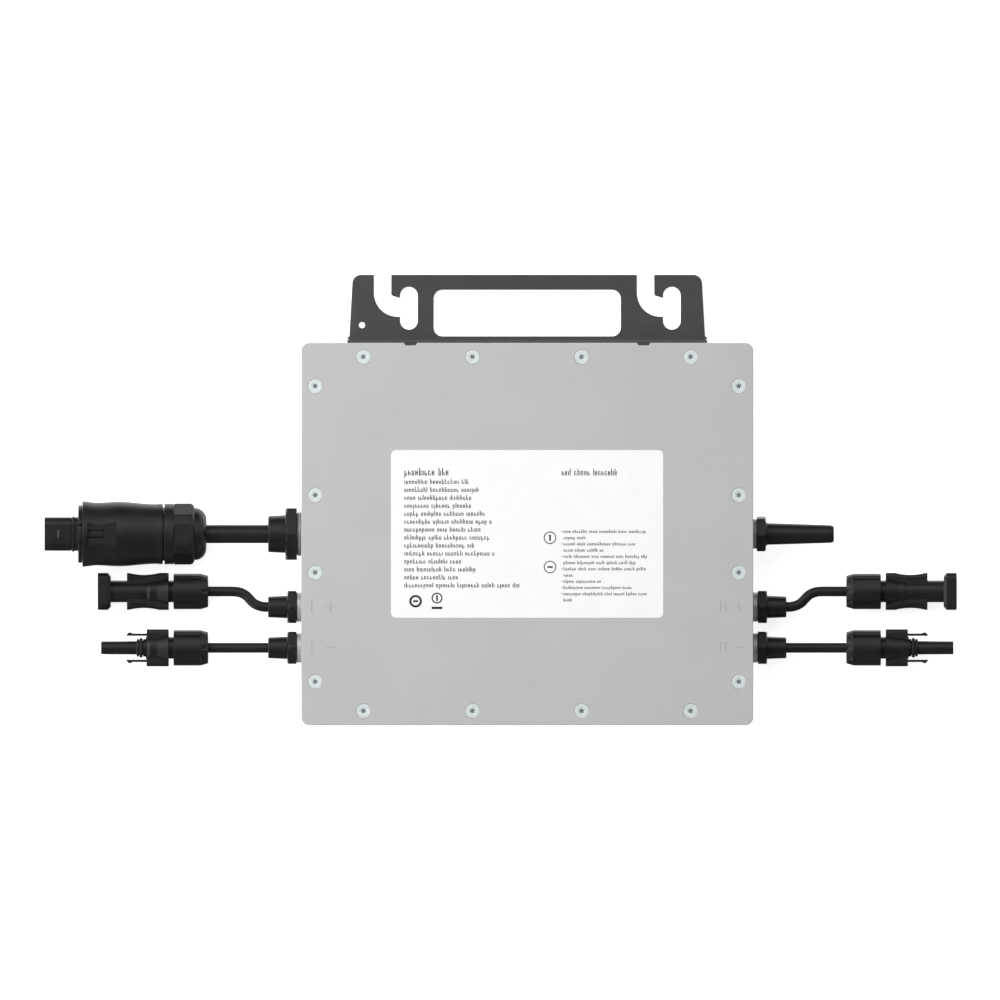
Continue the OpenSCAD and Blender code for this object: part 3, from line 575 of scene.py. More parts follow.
def make_cover():
    """The cover and its recessed port marks, with a darker grey piece in each mark as painted shade; gives
    the middles of its screws.
    """
    low, high = (corner.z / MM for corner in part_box("cover_plate"))
    loops = outlines("cover_plate", high, 1)
    cuts, heads, marks = [], [], []
    for loop in loops[1:]:
        if len(loop) > 12:           # a screw's round seat; the marks have fewer corners
            heads.append(middle_of(loop))
            cuts.append((loop, [(0, -0.22), (0.1, -0.06), (0.25, 0), (1.75, 1.7)]))
        else:
            marks.append(loop)
            cuts.append((loop, [(0, -0.05), (0.06, 0), (0.19, 0.04)]))
    shape = Shape()
    shape.plate(loops[0], low, high, 0.45, cuts_high=cuts)
    shape.piece("front_cover", "cover_metal", stands_for=["cover_plate"])
    # darker grey pieces in the mark recesses: painted shade
    inlay = Shape()
    for loop in marks:
        inlay.plate(shrunk(loop, 0.05), high - 0.188, high - 0.1, 0.01)
    inlay.piece("port_mark_shade", "cover_metal", finish="mark_painted_shade")
    return heads


def make_screws(heads):
    """Countersunk star-recess screws, flush with the cover; a darker star-shaped piece low in each recess is
    painted shade.
    """
    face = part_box("cover_screws")[1].z / MM
    shape, recess_shade = Shape(), Shape()
    count = 48
    angles = [2 * math.pi * k / count for k in range(count)]
    for i, spot in enumerate(heads):
        turn = 0.35 * math.sin(7.0 * i)

        def ring(radius, level):
            return [(spot.x + radius * math.cos(a), spot.y + radius * math.sin(a), level) for a in angles]

        def star(grow, level):
            radii = [1.12 + 0.3 * math.cos(6 * (a - turn)) + grow for a in angles]
            return [(spot.x + r * math.cos(a), spot.y + r * math.sin(a), level)
                    for r, a in zip(radii, angles)]

        shape.loft([ring(1.95, face - 9), ring(1.95, face - 1.8), ring(3.55, face - 0.25),
                    ring(3.66, face - 0.14), ring(3.64, face - 0.05), ring(3.5, face), ring(2.3, face - 0.02),
                    star(0.16, face - 0.03), star(0.04, face - 0.1), star(0, face - 0.25),
                    star(-0.1, face - 1.0)])
        # a darker star-shaped piece low in each recess: painted shade where the recess is in shadow
        recess_shade.loft([star(-0.02, face - 0.95), star(-0.01, face - 0.4), star(-0.06, face - 0.36),
                      ring(0.35, face - 0.42), ring(0.2, face - 0.5)])
    shape.piece("star_screws", "zinc_screws", stands_for=["cover_screws"])
    recess_shade.piece("star_recess_painted_shade", "zinc_screws", finish="socket_painted_shade")


# ---------- label ----------

def make_label():
    wide, tall, _ = size_of("rating_label")
    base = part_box("rating_label")[0].z / MM
    face = base + 0.2
    shape = Shape()
    shape.plate(box_outline(wide, tall, 2.6, 6), base - 0.02, face, 0.08)
    shape.piece("label_sheet", "label_film", stands_for=["rating_label"])
    make_print(face)


# A column is its left edge, its top and the step between lines; each line's length follows
LEFT_COLUMN = (-62.5, 26.7, 4.05)
LEFT_ENDS = (33, 38.5, 35.5, 35, 42, 45.5, 40.5, 44.5, 36.5, 47.5, 29.5, 37.5, 27.5, 59)
RIGHT_COLUMN = (18.5, 1.4, 3.17)
RIGHT_ENDS = (43, 12, 37.5, 21.5, 43, 37.5, 42.5, 5.5, 19.5, 36, 43.5, 4.5)
RIGHT_DASHES = (0, 2, 4, 6, 8, 9, 10)      # lines with a dash before them
HEADING_Y = 29.8


def make_print(level):
    """Rows of plain ticks in word-like groups; they stand for text and spell nothing."""
    ink = Shape()
    draw = random.Random(7)
    thick = 0.02

    def bit(x0, y0, x1, y1):
        ink.block((x0, y0, level - 0.01), (x1, y1, level + thick))

    def row(x, y, end, size, stroke):
        """Word-like groups of uprights joined by short bars; end is where the line stops."""
        body = 0.66 * size
        step = 1.65 * stroke
        while x < end - 2 * step:
            for _ in range(draw.randint(4, 11)):
                if x + 2 * step > end:
                    break
                kind = draw.random()
                top = size if kind < 0.2 else body
                foot = -0.3 * size if kind > 0.92 else 0
                bit(x, y + foot, x + stroke, y + top)
                if draw.random() < 0.75:
                    bar = y + draw.choice((0, body - 0.8 * stroke, 0.5 * body))
                    bit(x + 0.8 * stroke, bar, x + step + 0.2 * stroke, bar + 0.8 * stroke)
                    bit(x + step, y, x + step + 0.8 * stroke, y + body * draw.choice((0.5, 1, 1)))
                    x += step
                x += step + 0.25 * stroke
            x += 0.42 * size

    x, y, pitch = LEFT_COLUMN
    row(x, HEADING_Y, x + 22.8, 3.8, 0.52)
    for i, length in enumerate(LEFT_ENDS):
        row(x, y - 1.25 - i * pitch, x + length, 2.5, 0.42)
    x, y, pitch = RIGHT_COLUMN
    row(x - 1, HEADING_Y, x + 28, 3.4, 0.46)
    for i, length in enumerate(RIGHT_ENDS):
        row(x, y - 0.9 - i * pitch, x + length, 1.75, 0.31)
        if i in RIGHT_DASHES:
            bit(x - 1.2, y - 0.2 - i * pitch, x - 0.5, y + 0.1 - i * pitch)
    for outline, inner in plain_marks():
        ink.plate(outline, level - 0.01, level + thick, 0.004, holes=[inner] if inner else [])
    ink.piece("label_print", "label_film", finish="print_ink")


def plain_marks():
    """Plain frames and bars that stand where marks would be."""
    marks = []
    for x, y, wide, stroke in ((-56.8, -34.2, 6.4, 1.1), (-45.9, -32.6, 5.6, 0.7), (11.6, -1.9, 6.4, 0.5),
                               (11.6, -16.8, 6.4, 0.5)):
        marks.append((circle((x, y), wide / 2, 32), circle((x, y), wide / 2 - stroke, 32)))
    for x, y, wide, high in ((-56.8, -34.2, 2.6, 1.0), (-45.9, -37.6, 5.4, 1.2), (-45.9, -32.6, 0.9, 3.0),
                             (11.6, -1.9, 0.9, 3.2), (11.6, -16.8, 2.8, 0.9)):
        marks.append((box_outline(wide, high, 0.2, 3, (x, y)), None))
    return marks


# ---------- hanger ----------

def make_hanger():
    """Plate, bend and screwed flange of the hanger, with a wedge-shaped key at each side."""
    low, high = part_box("hanger_bracket")
    sheet = 1.5
    back = low.z / MM
    flange_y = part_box("housing")[1].y / MM
    half = high.x / MM
    top = high.z / MM
    bend = 2.5
    edge = 0.2
    loops = outlines("hanger_bracket", back + sheet, 1)
    base = min(p.y for p in loops[0])
    sheet_outline = [Vector((p.x, p.y - 0.5 if p.y < base + 0.01 else p.y)) for p in loops[0]]
    shape = Shape()
    shape.plate(sheet_outline, back, back + sheet, edge, holes=loops[1:])
    quarter = [math.pi / 2 * k / 10 for k in range(11)]

    def arc(radius, angles):
        return [Vector((flange_y + bend - radius * math.sin(a), back + bend - radius * math.cos(a)))
                for a in angles]

    shape.bar(arc(bend, quarter) + arc(bend - sheet, quarter[::-1]), 0.8 - half, half - 0.8, edge)
    screws = bracket_screw_spots()
    cone = [(0, -0.1), (0.1, 0), (1.2, 1.15)]
    flange = box_outline(2 * half, top - back - bend + 0.6, 0.5, 3, (0, (top + back + bend - 0.6) / 2))
    shape.plate(flange, flange_y, flange_y + sheet, edge,
                cuts_high=[(circle(spot, 2.85), cone) for spot in screws],
                place=lambda u, v, w: (u, w, v))
    key_x, key_wide, key_foot, key_deep, key_low = 59.3, 6.7, 5.0, 1.2, top - 3.8
    for x in (-key_x, key_x):
        right = [(x + key_foot / 2, flange_y - key_deep, 0.3), (x + key_wide / 2, flange_y),
                 (x + key_wide / 2, flange_y + 0.5)]
        wedge = rounded([(x - key_wide / 2, flange_y + 0.5), (x - key_wide / 2, flange_y),
                         (x - key_foot / 2, flange_y - key_deep, 0.3), *right])
        shape.plate(wedge, key_low, top, 0.15)
    shape.piece("hanger_sheet", "hanger_steel", stands_for=["hanger_bracket"])
    slotted_screws(screws, flange_y + sheet)


def circle(spot, radius, count=40):
    return [Vector((spot[0] + radius * math.cos(2 * math.pi * k / count),
                    spot[1] + radius * math.sin(2 * math.pi * k / count))) for k in range(count)]


def bracket_screw_spots():
    """Middles of the screws in the flange, as (x, z)."""
    low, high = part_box("bracket_screws")
    xs = sorted({round(v.co.x / MM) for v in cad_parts["bracket_screws"].data.vertices
                 if v.co.y > high.y - 1e-5})
    groups = []
    for x in xs:
        if not groups or x - groups[-1][-1] > 6:
            groups.append([])
        groups[-1].append(x)
    return [((g[0] + g[-1]) / 2, (low.z + high.z) / 2 / MM) for g in groups]


def slotted_screws(spots, face):
    shape = Shape()
    around = [2 * math.pi * k / 48 for k in range(48)]
    for x, z in spots:
        head = Shape()
        rings = [(0, 2.4), (0.03, 2.62), (0.12, 2.7), (1.3, 1.5), (5.5, 1.5)]
        head.loft([[(x + r * math.cos(a), face - d, z + r * math.sin(a)) for a in around]
                   for d, r in rings])
        shape.add(head.without(Shape().block((x - 3, face - 0.75, z - 0.35), (x + 3, face + 1, z + 0.35))))
    shape.piece("flange_screws", "zinc_screws", stands_for=["bracket_screws"])


# ---------- glands and antenna ----------

def washer(shape, x0, x1, radius, bore, axis, edge=0.5):
    """A ring whose outer edge is rounded."""
    ring = rounded([(x0, bore), (x1, bore), (x1, radius, edge), (x0, radius, edge * 0.6)], 4)
    shape.turned(ring, axis, closed=True)


def nut(shape, x0, x1, across, bore, axis, corner=0):
    """A six-sided nut whose outer corners are turned down."""
    flat = across / 2
    full = hexagon(across, corner)
    soft = flat / math.cos(math.radians(30)) - 0.35
    shape.turned([
        (x0, bore), (x0, least(full, flat + 0.4)), (x0 + 0.45, least(full, soft)),
        (x1 - 0.9, least(full, soft)), (x1 - 0.3, least(full, flat + 0.35)), (x1, flat - 0.35), (x1, bore)],
        axis, closed=True)


def gland_cap(shape, x0, x1, radius, bore, axis):
    """A slightly tapered cap with a rounded end and a soft seal round the lead."""
    taper = 0.4
    body = rounded([(x0 - 0.3, bore + 0.4), (x0 - 0.3, radius + taper), (x0 + 0.25, radius + taper, 0.2),
                    (x1, radius, 0.9), (x1, bore + 1.3, 0.2), (x1 - 0.5, bore + 1.1, 0.1),
                    (x1 - 0.5, bore)], 4)
    shape.turned(body, axis, closed=True)


def make_glands():
    """The mains gland and the four solar glands; the solar washers on the right get a darker copy of the
    washer finish as painted shade.
    """
    wall = reach("cover_plate")[1]
    axis = axis_of("ac_gland_cap")
    washer_end = reach("ac_gland_washer")[1]
    nut_end = reach("ac_gland_body")[1]
    cap_end = reach("ac_gland_cap")[1]
    shape = Shape()
    washer(shape, wall, washer_end, 11.1, AC_LEAD / 2 + 0.2, axis, 0.9)
    shape.piece("ac_sealing_washer", "grey_washer", LEFT, stands_for=["ac_gland_washer"])
    shape = Shape()
    nut(shape, washer_end, nut_end, size_of("ac_gland_body")[1], AC_LEAD / 2 + 0.15, axis)
    shape.piece("ac_gland_nut", "black_nylon", LEFT, stands_for=["ac_gland_body"])
    shape = Shape()
    gland_cap(shape, nut_end, cap_end, 9.2, AC_LEAD / 2 + 0.1, axis)
    shape.piece("ac_gland_dome", "black_nylon", LEFT, stands_for=["ac_gland_cap"])
    washer_end = reach("dc_gland_washers")[1]
    nut_end = reach("dc_gland_bodies")[1]
    for side, letter in ((LEFT, "a"), (RIGHT, "b")):
        washers, nuts, caps = Shape(), Shape(), Shape()
        for route in (PLUS_ROUTE, MINUS_ROUTE):
            axis = (route[0][1], route[0][2])
            washer(washers, wall, washer_end, 7.5, DC_LEAD / 2 + 0.2, axis)
            nut(nuts, washer_end, nut_end, 16.4, DC_LEAD / 2 + 0.15, axis)
            gland_cap(caps, nut_end, cap_end, 5.3, DC_LEAD / 2 + 0.1, axis)
        # the right-hand washers get a darker copy of the bright washer finish: painted shade
        zinc = None if side == LEFT else "painted_shade_zinc"
        for part, name, slot, finish, node in (
                (washers, "dc_washers_", "bright_washer", zinc, "dc_gland_washers"),
                (nuts, "dc_gland_nuts_", "black_nylon", None, "dc_gland_bodies"),
                (caps, "dc_gland_domes_", "black_nylon", None, "dc_gland_caps")):
            part.piece(name + letter, slot, side, stands_for=[node] if side == RIGHT else (), finish=finish)


def make_antenna():
    axis = axis_of("antenna_rod")
    wall = reach("cover_plate")[1]
    foot = reach("antenna_washer")[1]
    start = min(reach("antenna_base")[1], 121.5)      # the base's stud may run on into the rod
    end = reach("antenna_rod")[1]
    shape = Shape()
    washer(shape, wall, foot, 7.5, 3.3, axis, 0.3)
    shape.piece("antenna_foot_washer", "grey_washer", stands_for=["antenna_washer"])
    shape = Shape()
    nut(shape, foot, start, 16.8, 3.0, axis, 52.5)
    shape.turned([(wall - 8, 3.2), (foot + 0.1, 3.2)], axis)
    shape.piece("antenna_hex_base", "black_nylon", stands_for=["antenna_base"])
    rod = rounded([(start - 0.5, 5.9), (start + 0.25, 5.95, 0.2), (start + 0.8, 5.5, 0.5),
                   (end - 1.8, 4.52, 1.0), (end, 4.1, 1.2), (end, 0.6)], 5, closed=False)
    shape = Shape()
    shape.turned(rod, axis)
    shape.piece("antenna_whip", "antenna_rubber", stands_for=["antenna_rod"])


# ---------- mains plug ----------

def make_mains_plug():
    """The mains plug; gives the pieces that hang on the lead."""
    axis = axis_of("ac_plug_nut")
    nut_0, ring_0 = reach("ac_plug_nut")
    hex_0 = nut_0 + 6.1
    bore = AC_LEAD / 2 + 0.1
    shape = Shape()
    dome = [(nut_0 + 6 * (1 - math.cos(math.radians(a))), 7.3 + 6 * math.sin(math.radians(a)))
            for a in range(0, 91, 9)]
    grip = least(hexagon(29.1, 30), hexagon(31.1, 0))      # six wide flats and six narrow ones
    soft = least(grip, 15.95)
    stations = [(nut_0 + 1.2, bore), (nut_0 + 0.1, bore + 0.15), (nut_0, bore + 0.5)] + dome[:-1]
    stations += [(hex_0 - 0.02, 13.25), (hex_0, least(grip, 13.7)), (hex_0 + 0.35, least(grip, 14.4)),
                 (hex_0 + 0.9, least(grip, 15.1)), (hex_0 + 1.7, least(grip, 15.75)), (hex_0 + 2.1, soft),
                 (ring_0 - 0.35, soft), (ring_0 - 0.05, least(grip, 15.4)), (ring_0, 14.2), (ring_0, bore)]
    shape.turned(stations, axis, closed=True)
    pieces = [shape.piece("mains_clamp_nut", "plug_black", LEFT, stands_for=["ac_plug_nut"])]

    neck_0 = ring_0 + 4.9
    sleeve_0, sleeve_1 = reach("ac_plug_sleeve")
    ring = rounded([(ring_0 - 1, 10), (ring_0 + 0.05, 14.6), (ring_0 + 0.1, 15.35, 0.3), (neck_0, 15.45, 0.4),
                    (neck_0, 13.6, 0.1), (sleeve_0 + 1, 13.6), (sleeve_0 + 1, bore), (ring_0 - 1, bore)], 3)
    shape = Shape()
    shape.turned(ring, axis, closed=True)
    pieces.append(shape.piece("mains_rear_ring", "plug_black", LEFT, stands_for=["ac_plug_ring"]))
    pieces.append(make_sleeve(axis, sleeve_0, sleeve_1))
    pieces.append(make_tongue())
    pieces.append(make_nose(axis, sleeve_1))
    return pieces + [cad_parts["ac_plug_contacts"]]


# Outside radius of the sleeve at its waists and bulges, by distance from its near end
SLEEVE_KNOTS = ((0, 15.4), (3.6, 15.2), (22.6, 16.4), (33.6, 15.95), (41, 16.7))
PANEL = 15.1          # distance of the sleeve's flat latch panel from the axis
PANEL_FROM, PANEL_TO = 23.8, 38.1


def sleeve_radius(x):
    for (a, r_a), (b, r_b) in zip(SLEEVE_KNOTS, SLEEVE_KNOTS[1:]):
        if x <= b:
            break
    t = min(max((x - a) / (b - a), 0), 1)
    return r_a + (r_b - r_a) * (1 - math.cos(math.pi * t)) / 2


def make_sleeve(axis, start, end):
    length = end - start
    inner = 13.25

    def section(x):
        radius = sleeve_radius(x)
        if not PANEL_FROM <= x <= PANEL_TO:
            return radius
        return lambda a: min(radius, PANEL / max(math.cos(math.radians(a)), 0.2))

    places = sorted([0.6 + k * (length - 1.2) / 48 for k in range(49)]
                    + [PANEL_FROM - 0.15, PANEL_FROM, PANEL_TO, PANEL_TO + 0.25])
    stations = [(start, sleeve_radius(0) - 0.5), (start + 0.15, sleeve_radius(0) - 0.15)]
    stations += [(start + x, section(x)) for x in places]
    stations += [(end - 0.15, sleeve_radius(length) - 0.15), (end, sleeve_radius(length) - 0.45),
                 (end, inner), (start, inner)]
    shape = Shape()
    shape.turned(stations, axis, closed=True)
    tongue_0, tongue_1 = reach("ac_plug_tongue")
    low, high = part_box("ac_plug_tongue")
    play, end_play = 0.35, 0.12
    slot = Shape().block((tongue_0 - end_play, low.y / MM - play, low.z / MM - 4),
                         (tongue_1 + end_play, high.y / MM + play, high.z / MM + 4))
    return shape.without(slot).piece("mains_sleeve", "plug_black", LEFT, stands_for=["ac_plug_sleeve"])


def make_tongue():
    start, end = reach("ac_plug_tongue")
    low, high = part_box("ac_plug_tongue")
    outline = rounded([(low.y / MM, low.z / MM), (high.y / MM, low.z / MM), (high.y / MM, high.z / MM, 0.3),
                       (low.y / MM, high.z / MM, 0.3)], 3)
    shape = Shape()
    shape.bar(outline, start, end, 0.08)
    rib_x = end - 1.4
    for k in range(3):
        shape.bar(box_outline(2.3, 0.5, 0.2, 3, (axis_of("ac_plug_tongue")[0], high.z / MM - 0.19)),
                  rib_x - k * 1.3, rib_x - k * 1.3 + 0.6, 0.15)
    return shape.piece("mains_release_tongue", "plug_black", LEFT, body="tongue",
                       stands_for=["ac_plug_tongue"])


def make_nose(axis, sleeve_end):
    """Collar and open nose of the mains plug."""
    end = reach("ac_plug_insert")[1]
    wide, high, corner, wall = 17.1, 14.6, 4.0, 1.6
    collar = sleeve_end + 2.1
    outer = rectangle(wide, high, corner)
    rib = rectangle(wide + 0.85, high + 0.9, corner + 0.3)
    mouth = rectangle(wide - 2 * wall, high - 2 * wall, corner - wall)

    def small(section, by):
        return lambda a: section(a) - by

    stations = [
        (sleeve_end - 12, 9), (sleeve_end - 12, 11.2), (sleeve_end - 2.2, 11.4), (sleeve_end - 2.0, 13.1),
        (sleeve_end + 0.02, 13.15), (sleeve_end + 0.05, 14.4), (sleeve_end + 0.3, 14.65),
        (collar - 0.4, 14.7), (collar - 0.1, 14.55),
        (collar, 14.3), (collar, small(outer, -0.3)), (collar + 0.3, outer),
        (collar + 1.9, outer), (collar + 2.1, rib), (collar + 2.9, rib), (collar + 3.3, outer),
        (collar + 3.4, small(outer, 0.25)), (collar + 3.7, small(outer, 0.25)), (collar + 3.8, outer),
        (end - 0.5, outer), (end - 0.12, small(outer, 0.15)), (end, small(outer, 0.5)),
        (end, small(mouth, -0.3)), (end - 0.3, mouth), (end - 11.4, mouth), (end - 11.5, 0.5)]
    shape = Shape()
    shape.turned(stations, axis)
    across, face = axis[0], axis[1] + high / 2
    notches = [((sleeve_end + 0.1, across + y - 0.55, axis[1] + 9),
                (sleeve_end + 3, across + y + 0.55, axis[1] + 16)) for y in (-4.6, 4.6)]
    window = ((end - 8.0, across - 2.1, face - 0.55), (end - 6.4, across + 2.1, face + 1))
    seam = ((collar + 3.2, across - 2.75, face - 0.25), (end - 5.7, across - 2.5, axis[1] + 9))
    knives = [Shape().block(*corners) for corners in (*notches, window, seam)]
    piece = shape.without(*knives).piece("mains_nose", "plug_black", LEFT, stands_for=["ac_plug_insert"])
    bar = Shape()
    bar.plate(box_outline(1.2, 4.0, 0.3, 3, (end - 7.0, across)), face - 0.5, face - 0.1, 0.1)
    bar.piece("mains_nose_catch", "plug_black", LEFT, finish="catch_grey")
    return piece


# ---------- solar plugs ----------

FLUTES = (45, 135, 225, 315)       # angles of the wide grooves of a solar plug's nut
NOTCHES = (0, 40, 90, 140, 180, 220, 270, 320)       # angles of the short notches in its taper
NECK = 2.4            # bare neck between the nut and the block of a solar plug
PLUG_WIDE = 18.9      # across a solar plug's wings and its flange
WING_THICK = 8


def grooved(radius, deep, half, angles):
    """Radius by angle of a round section with grooves; half is half a groove's width in degrees."""
    def at(angle):
        near = min(abs((angle - groove + 180) % 360 - 180) for groove in angles)
        return radius - deep * min(1, max(0, 2.2 * (1 - near / half)))
    return at


def clamp_nut(kind, side, letter):
    """A solar plug's nut, with long grooves and a notched taper. Gives its piece, the plug's axis and where
    the nut and the whole plug end."""
    node = f"{kind}_nut_{letter}"
    axis = axis_of(node)
    start, end = reach(node)
    radius = 9.05
    bore = DC_LEAD / 2 + 0.1

    def flute(r):
        return grooved(r, 0.6, 13, FLUTES)

    def notch(r):
        return grooved(r, 0.35, 8, NOTCHES)

    stations = [(start, bore), (start, 7.3), (start + 0.1, 7.8), (start + 0.45, 8.15),
                (start + 0.8, notch(8.3)), (start + 3.0, notch(radius - 0.15)),
                (start + 3.4, radius - 0.08), (start + 3.7, radius - 0.02),
                (start + 4.1, flute(radius)), (end - 0.5, flute(radius)), (end - 0.12, flute(radius - 0.15)),
                (end, radius - 1.0), (end, bore)]
    shape = Shape()
    shape.turned(stations, axis, closed=True, angles=[i * 1.5 for i in range(240)])
    piece = shape.piece(f"{kind}_clamp_nut_{letter}", "plug_black", side, stands_for=[node])
    return piece, axis, end, reach(f"{kind}_body_{letter}")[1]


def solar_core(shape, start, nut_end, axis, end):
    """Neck, cone and stem of both kinds of solar plug."""
    profile = rounded([(nut_end - 3, 5.5), (start, 5.55), (start, 7.9, 0.3), (start + 6, 6.35, 0.3),
                       (start + 9.6, 6.25, 0.3), (start + 11.2, 5.6, 0.2), (end, 5.6)], 3, closed=False)
    shape.turned(profile, axis)


def wings(shape, x0, x1, axis, scallop=None):
    """The plug's flat sides; a scallop is (its middle, its radius, its depth)."""
    def outline(x):
        half = PLUG_WIDE / 2
        if scallop:
            middle, radius, deep = scallop
            reach_in = radius ** 2 - (x - middle) ** 2
            if reach_in > 0:
                half = min(half, half - deep + radius - math.sqrt(reach_in))
        return box_outline(2 * half, WING_THICK, 1.7, 5, axis)
    shape.bar(outline(x0), x0, x1, 0.35, outline)


def make_plus_plug(side, letter):
    """A socket plug; gives its pieces."""
    clamp, axis, nut_end, end = clamp_nut("plus", side, letter)
    block = nut_end + NECK
    shape = Shape()
    solar_core(shape, block, nut_end, axis, end - 20)
    sides = Shape()
    wings(sides, block, end - 14.9, axis, (end - 23.6, 30.3, 1.0))
    # Marks on the wings: both ends, counted back from the plug's own end, and half their width
    strokes = ((24.4, 17.0, 0.3), (24.8, 24.2, 0.6), (17.2, 16.6, 0.6))
    lines = [Shape().block((end - x0, y - half, axis[1] + 3), (end - x1, y + half, axis[1] + 6))
             for y in (axis[0] - 6.6, axis[0] + 6.6) for x0, x1, half in strokes]
    shape.add(sides.without(*lines))
    shape.turned([(block + 1, 5.5), (end - 6, 5.55)], axis)
    socket = 3.45

    def flange(by):
        return rectangle(PLUG_WIDE - 2 * by, 14.5 - by, 3)

    head = Shape()
    head.turned([(end - 6.7, 1), (end - 6.7, flange(1.6)), (end - 6.4, flange(1.3)),
                 (end - 5.3, flange(0.12)), (end - 5.0, flange(0)), (end - 0.5, flange(0)),
                 (end - 0.12, flange(0.2)), (end, flange(0.6)), (end, socket + 0.3), (end - 0.3, socket),
                 (end - 6.3, socket), (end - 6.4, 1)], axis, closed=True)
    slots = [Shape().block((end - 10, y - 1, axis[1] - 3.3), (end + 2, y + 1, axis[1] + 3.3))
             for y in (axis[0] - 7, axis[0] + 7)]
    shape.add(head.without(*slots))
    body = shape.piece("plus_socket_body_" + letter, "plug_black", side, stands_for=["plus_body_" + letter])
    return [clamp, body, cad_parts["plus_contact_" + letter]]


def make_minus_plug(side, letter):
    """A pin plug with two latch arms; gives its pieces."""
    clamp, axis, nut_end, end = clamp_nut("minus", side, letter)
    block = nut_end + NECK
    block_end = end - 23.2
    seal = (reach("minus_seal_" + letter)[0] + reach("minus_seal_" + letter)[1]) / 2
    seat = end - 18.3
    shape = Shape()
    solar_core(shape, block, nut_end, axis, block_end + 0.4)
    pockets = []
    for up in ("upper", "lower"):
        low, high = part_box(f"latch_{letter}_{up}")
        play, thick = 0.3, 1.2
        y0 = axis[0] + (6.07 - play if up == "upper" else -7.27 - play)
        knife = Shape().block((block_end - 1.6, y0, low.z / MM - play),
                              (block_end + 2, y0 + thick + 2 * play, high.z / MM + play))
        pockets.append(knife)
    side_wings = Shape()
    wings(side_wings, block, block_end, axis)
    shape.add(side_wings.without(*pockets))
    barrel = rounded([(block_end - 1, 2.1), (block_end - 1, 4.5), (seal - 1.1, 4.5, 0.2),
                      (seal - 1.0, 3.6, 0.2), (seal + 1.0, 3.6, 0.2), (seal + 1.1, 4.5, 0.2),
                      (seat, 4.5, 0.3), (seat + 0.3, 3.4, 0.2), (end - 0.3, 3.33, 0.1),
                      (end, 3.1, 0.1), (end, 2.3), (end - 0.3, 2.1)], 3)
    shape.turned(barrel, axis, closed=True)
    body = shape.piece("minus_pin_body_" + letter, "plug_black", side, stands_for=["minus_body_" + letter])
    ring = [(seal + 0.85 * math.sin(math.radians(a)), 4.2 + 0.83 * math.cos(math.radians(a)))
            for a in range(0, 360, 20)]
    shape = Shape()
    shape.turned(ring, axis, closed=True)
    seal_ring = shape.piece("minus_seal_ring_" + letter, "gasket_rubber", side,
                            stands_for=["minus_seal_" + letter])
    arms = [make_arm(side, letter, up, sign, axis) for up, sign in (("upper", 1), ("lower", -1))]
    return [clamp, body, seal_ring, *arms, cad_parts["minus_contact_" + letter]]


def make_arm(side, letter, up, sign, axis):
    """A springy latch arm with a rounded barb."""
    node = f"latch_{letter}_{up}"
    start, end = reach(node)
    low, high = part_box(node)
    inner, outer = sorted((abs(low.y / MM - axis[0]), abs(high.y / MM - axis[0])))
    side_y = inner + 1.2
    profile = rounded([(start, inner), (end - 0.4, inner, 0.2), (end, inner + 0.35, 0.2),
                       (end - 1.3, outer, 0.25), (end - 2.6, outer - 0.1, 0.3),
                       (end - 3.2, side_y, 0.3), (start, side_y)], 4)
    edge = 0.2
    shape = Shape()
    levels = [(low.z / MM, edge), (low.z / MM + edge, 0), (high.z / MM - edge, 0), (high.z / MM, edge)]
    shape.loft([[(p.x, axis[0] + sign * p.y, z) for p in shrunk(profile, s)] for z, s in levels])
    return shape.piece(f"latch_arm_{letter}_{up}", "plug_black", side, body=f"arm_{letter}_{up}",
                       stands_for=[node])


# ---------- studio ----------

def area_light(name, place, wide, high, power):
    """A soft light aimed at the middle of the object, without a reflection of its own."""
    data = bpy.data.lights.new(name, "AREA")
    data.shape = "RECTANGLE"
    data.size, data.size_y = wide, high
    data.energy = power
    light = bpy.data.objects.new(name, data)
    light.location = place
    light.rotation_euler = (-Vector(place)).to_track_quat("-Z", "Y").to_euler()
    light.visible_glossy = False
    bpy.context.scene.collection.objects.link(light)


# Brightness of the studio round the object, by angle in degrees from overhead towards +Y
SURROUNDINGS = ((-180, 0.7), (-165, 0.45), (-150, 0.05), (-120, 0.1), (-90, 0.16), (-60, 0.1), (-20, 0.06),
                (0, 0.17), (40, 0.88), (56, 0.6), (70, 0.15), (82, 0.0), (108, 0.0), (116, 0.5), (125, 1.25),
                (155, 1.25), (180, 0.7))


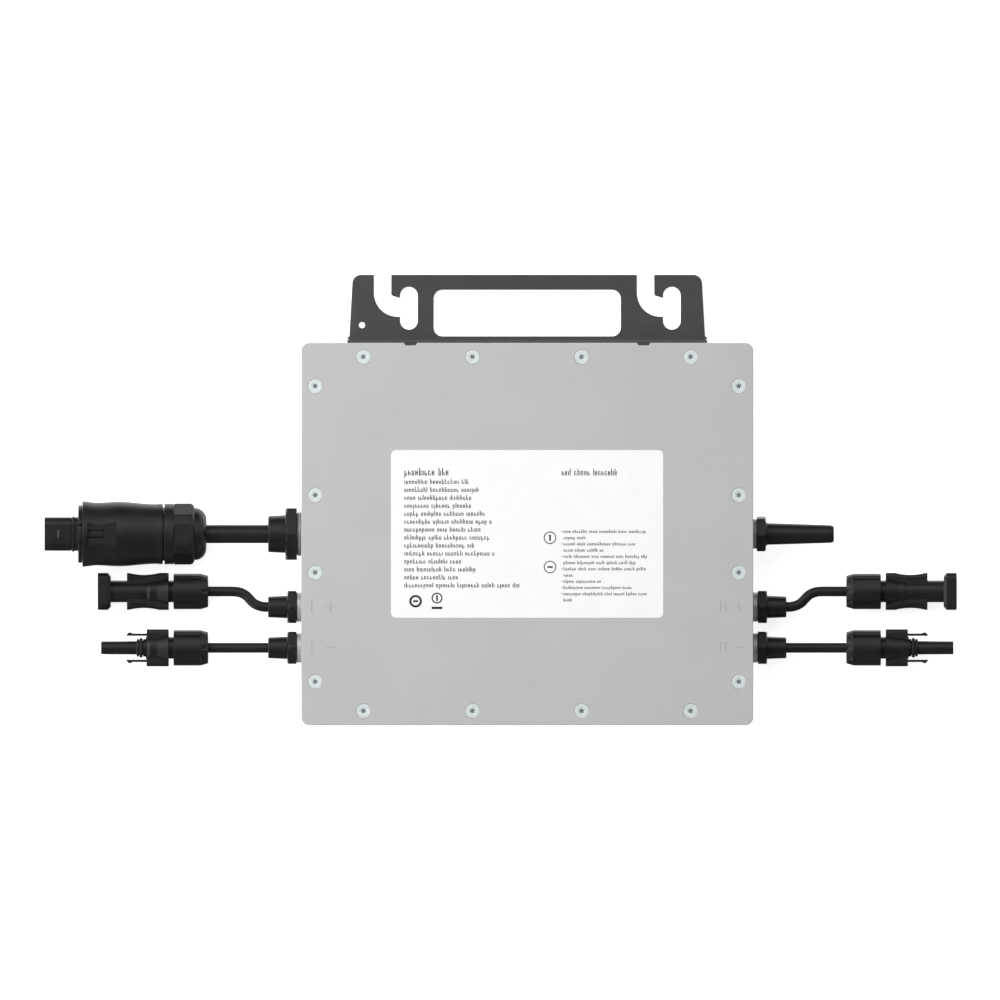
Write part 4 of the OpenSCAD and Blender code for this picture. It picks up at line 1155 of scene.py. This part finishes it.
def make_surroundings():
    """A white backdrop for the camera; for the rest, soft light from +Y and from the left."""
    world = bpy.data.worlds.new("studio")
    world.use_nodes = True
    tree = world.node_tree
    link = tree.links.new
    place = add_node(tree, "TexCoord")
    parts = add_node(tree, "SeparateXYZ")
    link(place.outputs["Generated"], parts.inputs["Vector"])
    angle = add_node(tree, "Math")
    angle.operation = "ARCTAN2"
    link(parts.outputs["Y"], angle.inputs[0])
    link(parts.outputs["Z"], angle.inputs[1])
    share = add_node(tree, "MapRange", From_Min=-math.pi, From_Max=math.pi)
    link(angle.outputs["Value"], share.inputs["Value"])
    ramp = add_node(tree, "ValToRGB")
    stops = ramp.color_ramp.elements
    while len(stops) < len(SURROUNDINGS):
        stops.new(0.5)
    for stop, (degrees, value) in zip(stops, SURROUNDINGS):
        stop.position = (degrees + 180) / 360
        stop.color = (*grey(value), 1)
    link(share.outputs["Result"], ramp.inputs["Fac"])
    left = add_node(tree, "MapRange", From_Min=-0.35, From_Max=-0.6)
    link(parts.outputs["X"], left.inputs["Value"])
    both = add_node(tree, "Mix")
    both.data_type = "RGBA"
    both.blend_type = "ADD"
    both.inputs["Factor"].default_value = 1
    link(ramp.outputs["Color"], both.inputs["A"])
    link(left.outputs["Result"], both.inputs["B"])
    lit = tree.nodes["Background"]
    link(both.outputs["Result"], lit.inputs["Color"])
    seen = add_node(tree, "Background", Color=(1, 1, 1, 1))
    path = add_node(tree, "LightPath")
    either = add_node(tree, "MixShader")
    link(path.outputs["Is Camera Ray"], either.inputs["Fac"])
    link(lit.outputs["Background"], either.inputs[1])
    link(seen.outputs["Background"], either.inputs[2])
    link(either.outputs["Shader"], tree.nodes["World Output"].inputs["Surface"])
    bpy.context.scene.world = world


def make_studio():
    half = 4.0
    mesh = bpy.data.meshes.new("floor")
    corners = [(-half, -half, 0), (half, -half, 0), (half, half, 0), (-half, half, 0)]
    mesh.from_pydata(corners, [], [(0, 1, 2, 3)])
    floor = bpy.data.objects.new("floor", mesh)
    floor.location.z = min(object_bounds()[0].z, 0) - 0.0002
    bpy.context.scene.collection.objects.link(floor)
    pale = bpy.data.materials.new("pale_floor")
    pale.use_nodes = True
    shader = pale.node_tree.nodes["Principled BSDF"]
    shader.inputs["Base Color"].default_value = (*grey(0.8), 1)
    shader.inputs["Roughness"].default_value = 0.9
    shader.inputs["Emission Color"].default_value = (1, 1, 1, 1)
    shader.inputs["Emission Strength"].default_value = 0.8
    mesh.materials.append(pale)
    floor.visible_glossy = False
    make_surroundings()
    area_light("soft_top", (-0.42, 0.36, 1.0), 0.8, 0.8, 7.4)
    area_light("soft_back", (-0.25, 1.3, 1.1), 1.8, 0.9, 2)
    area_light("soft_front", (0.2, -1.4, 0.7), 1.8, 0.6, 4)
    scene = bpy.context.scene
    scene.view_settings.view_transform = "Standard"
    scene.view_settings.look = "None"


# ---------- putting it together ----------

make_camera()
ac_lead = make_lead("mains_lead", "ac_lead_cable", LEFT, AC_ROUTE, AC_LEAD)
solar = [(kind, route, make_plug, side, letter) for side, letter in ((LEFT, "a"), (RIGHT, "b"))
         for kind, route, make_plug in (("plus", PLUS_ROUTE, make_plus_plug),
                                        ("minus", MINUS_ROUTE, make_minus_plug))]
solar_leads = [make_lead(f"solar_lead_{kind}_{letter}", f"lead_{letter}_{kind}", side, route, DC_LEAD)
               for kind, route, _, side, letter in solar]
dress_kept_nodes()
make_mains_plug()
for lead, (_, route, make_plug, side, letter) in zip(solar_leads, solar):
    make_plug(side, letter)
make_housing()
make_screws(make_cover())
make_label()
make_hanger()
make_glands()
make_antenna()
make_studio()
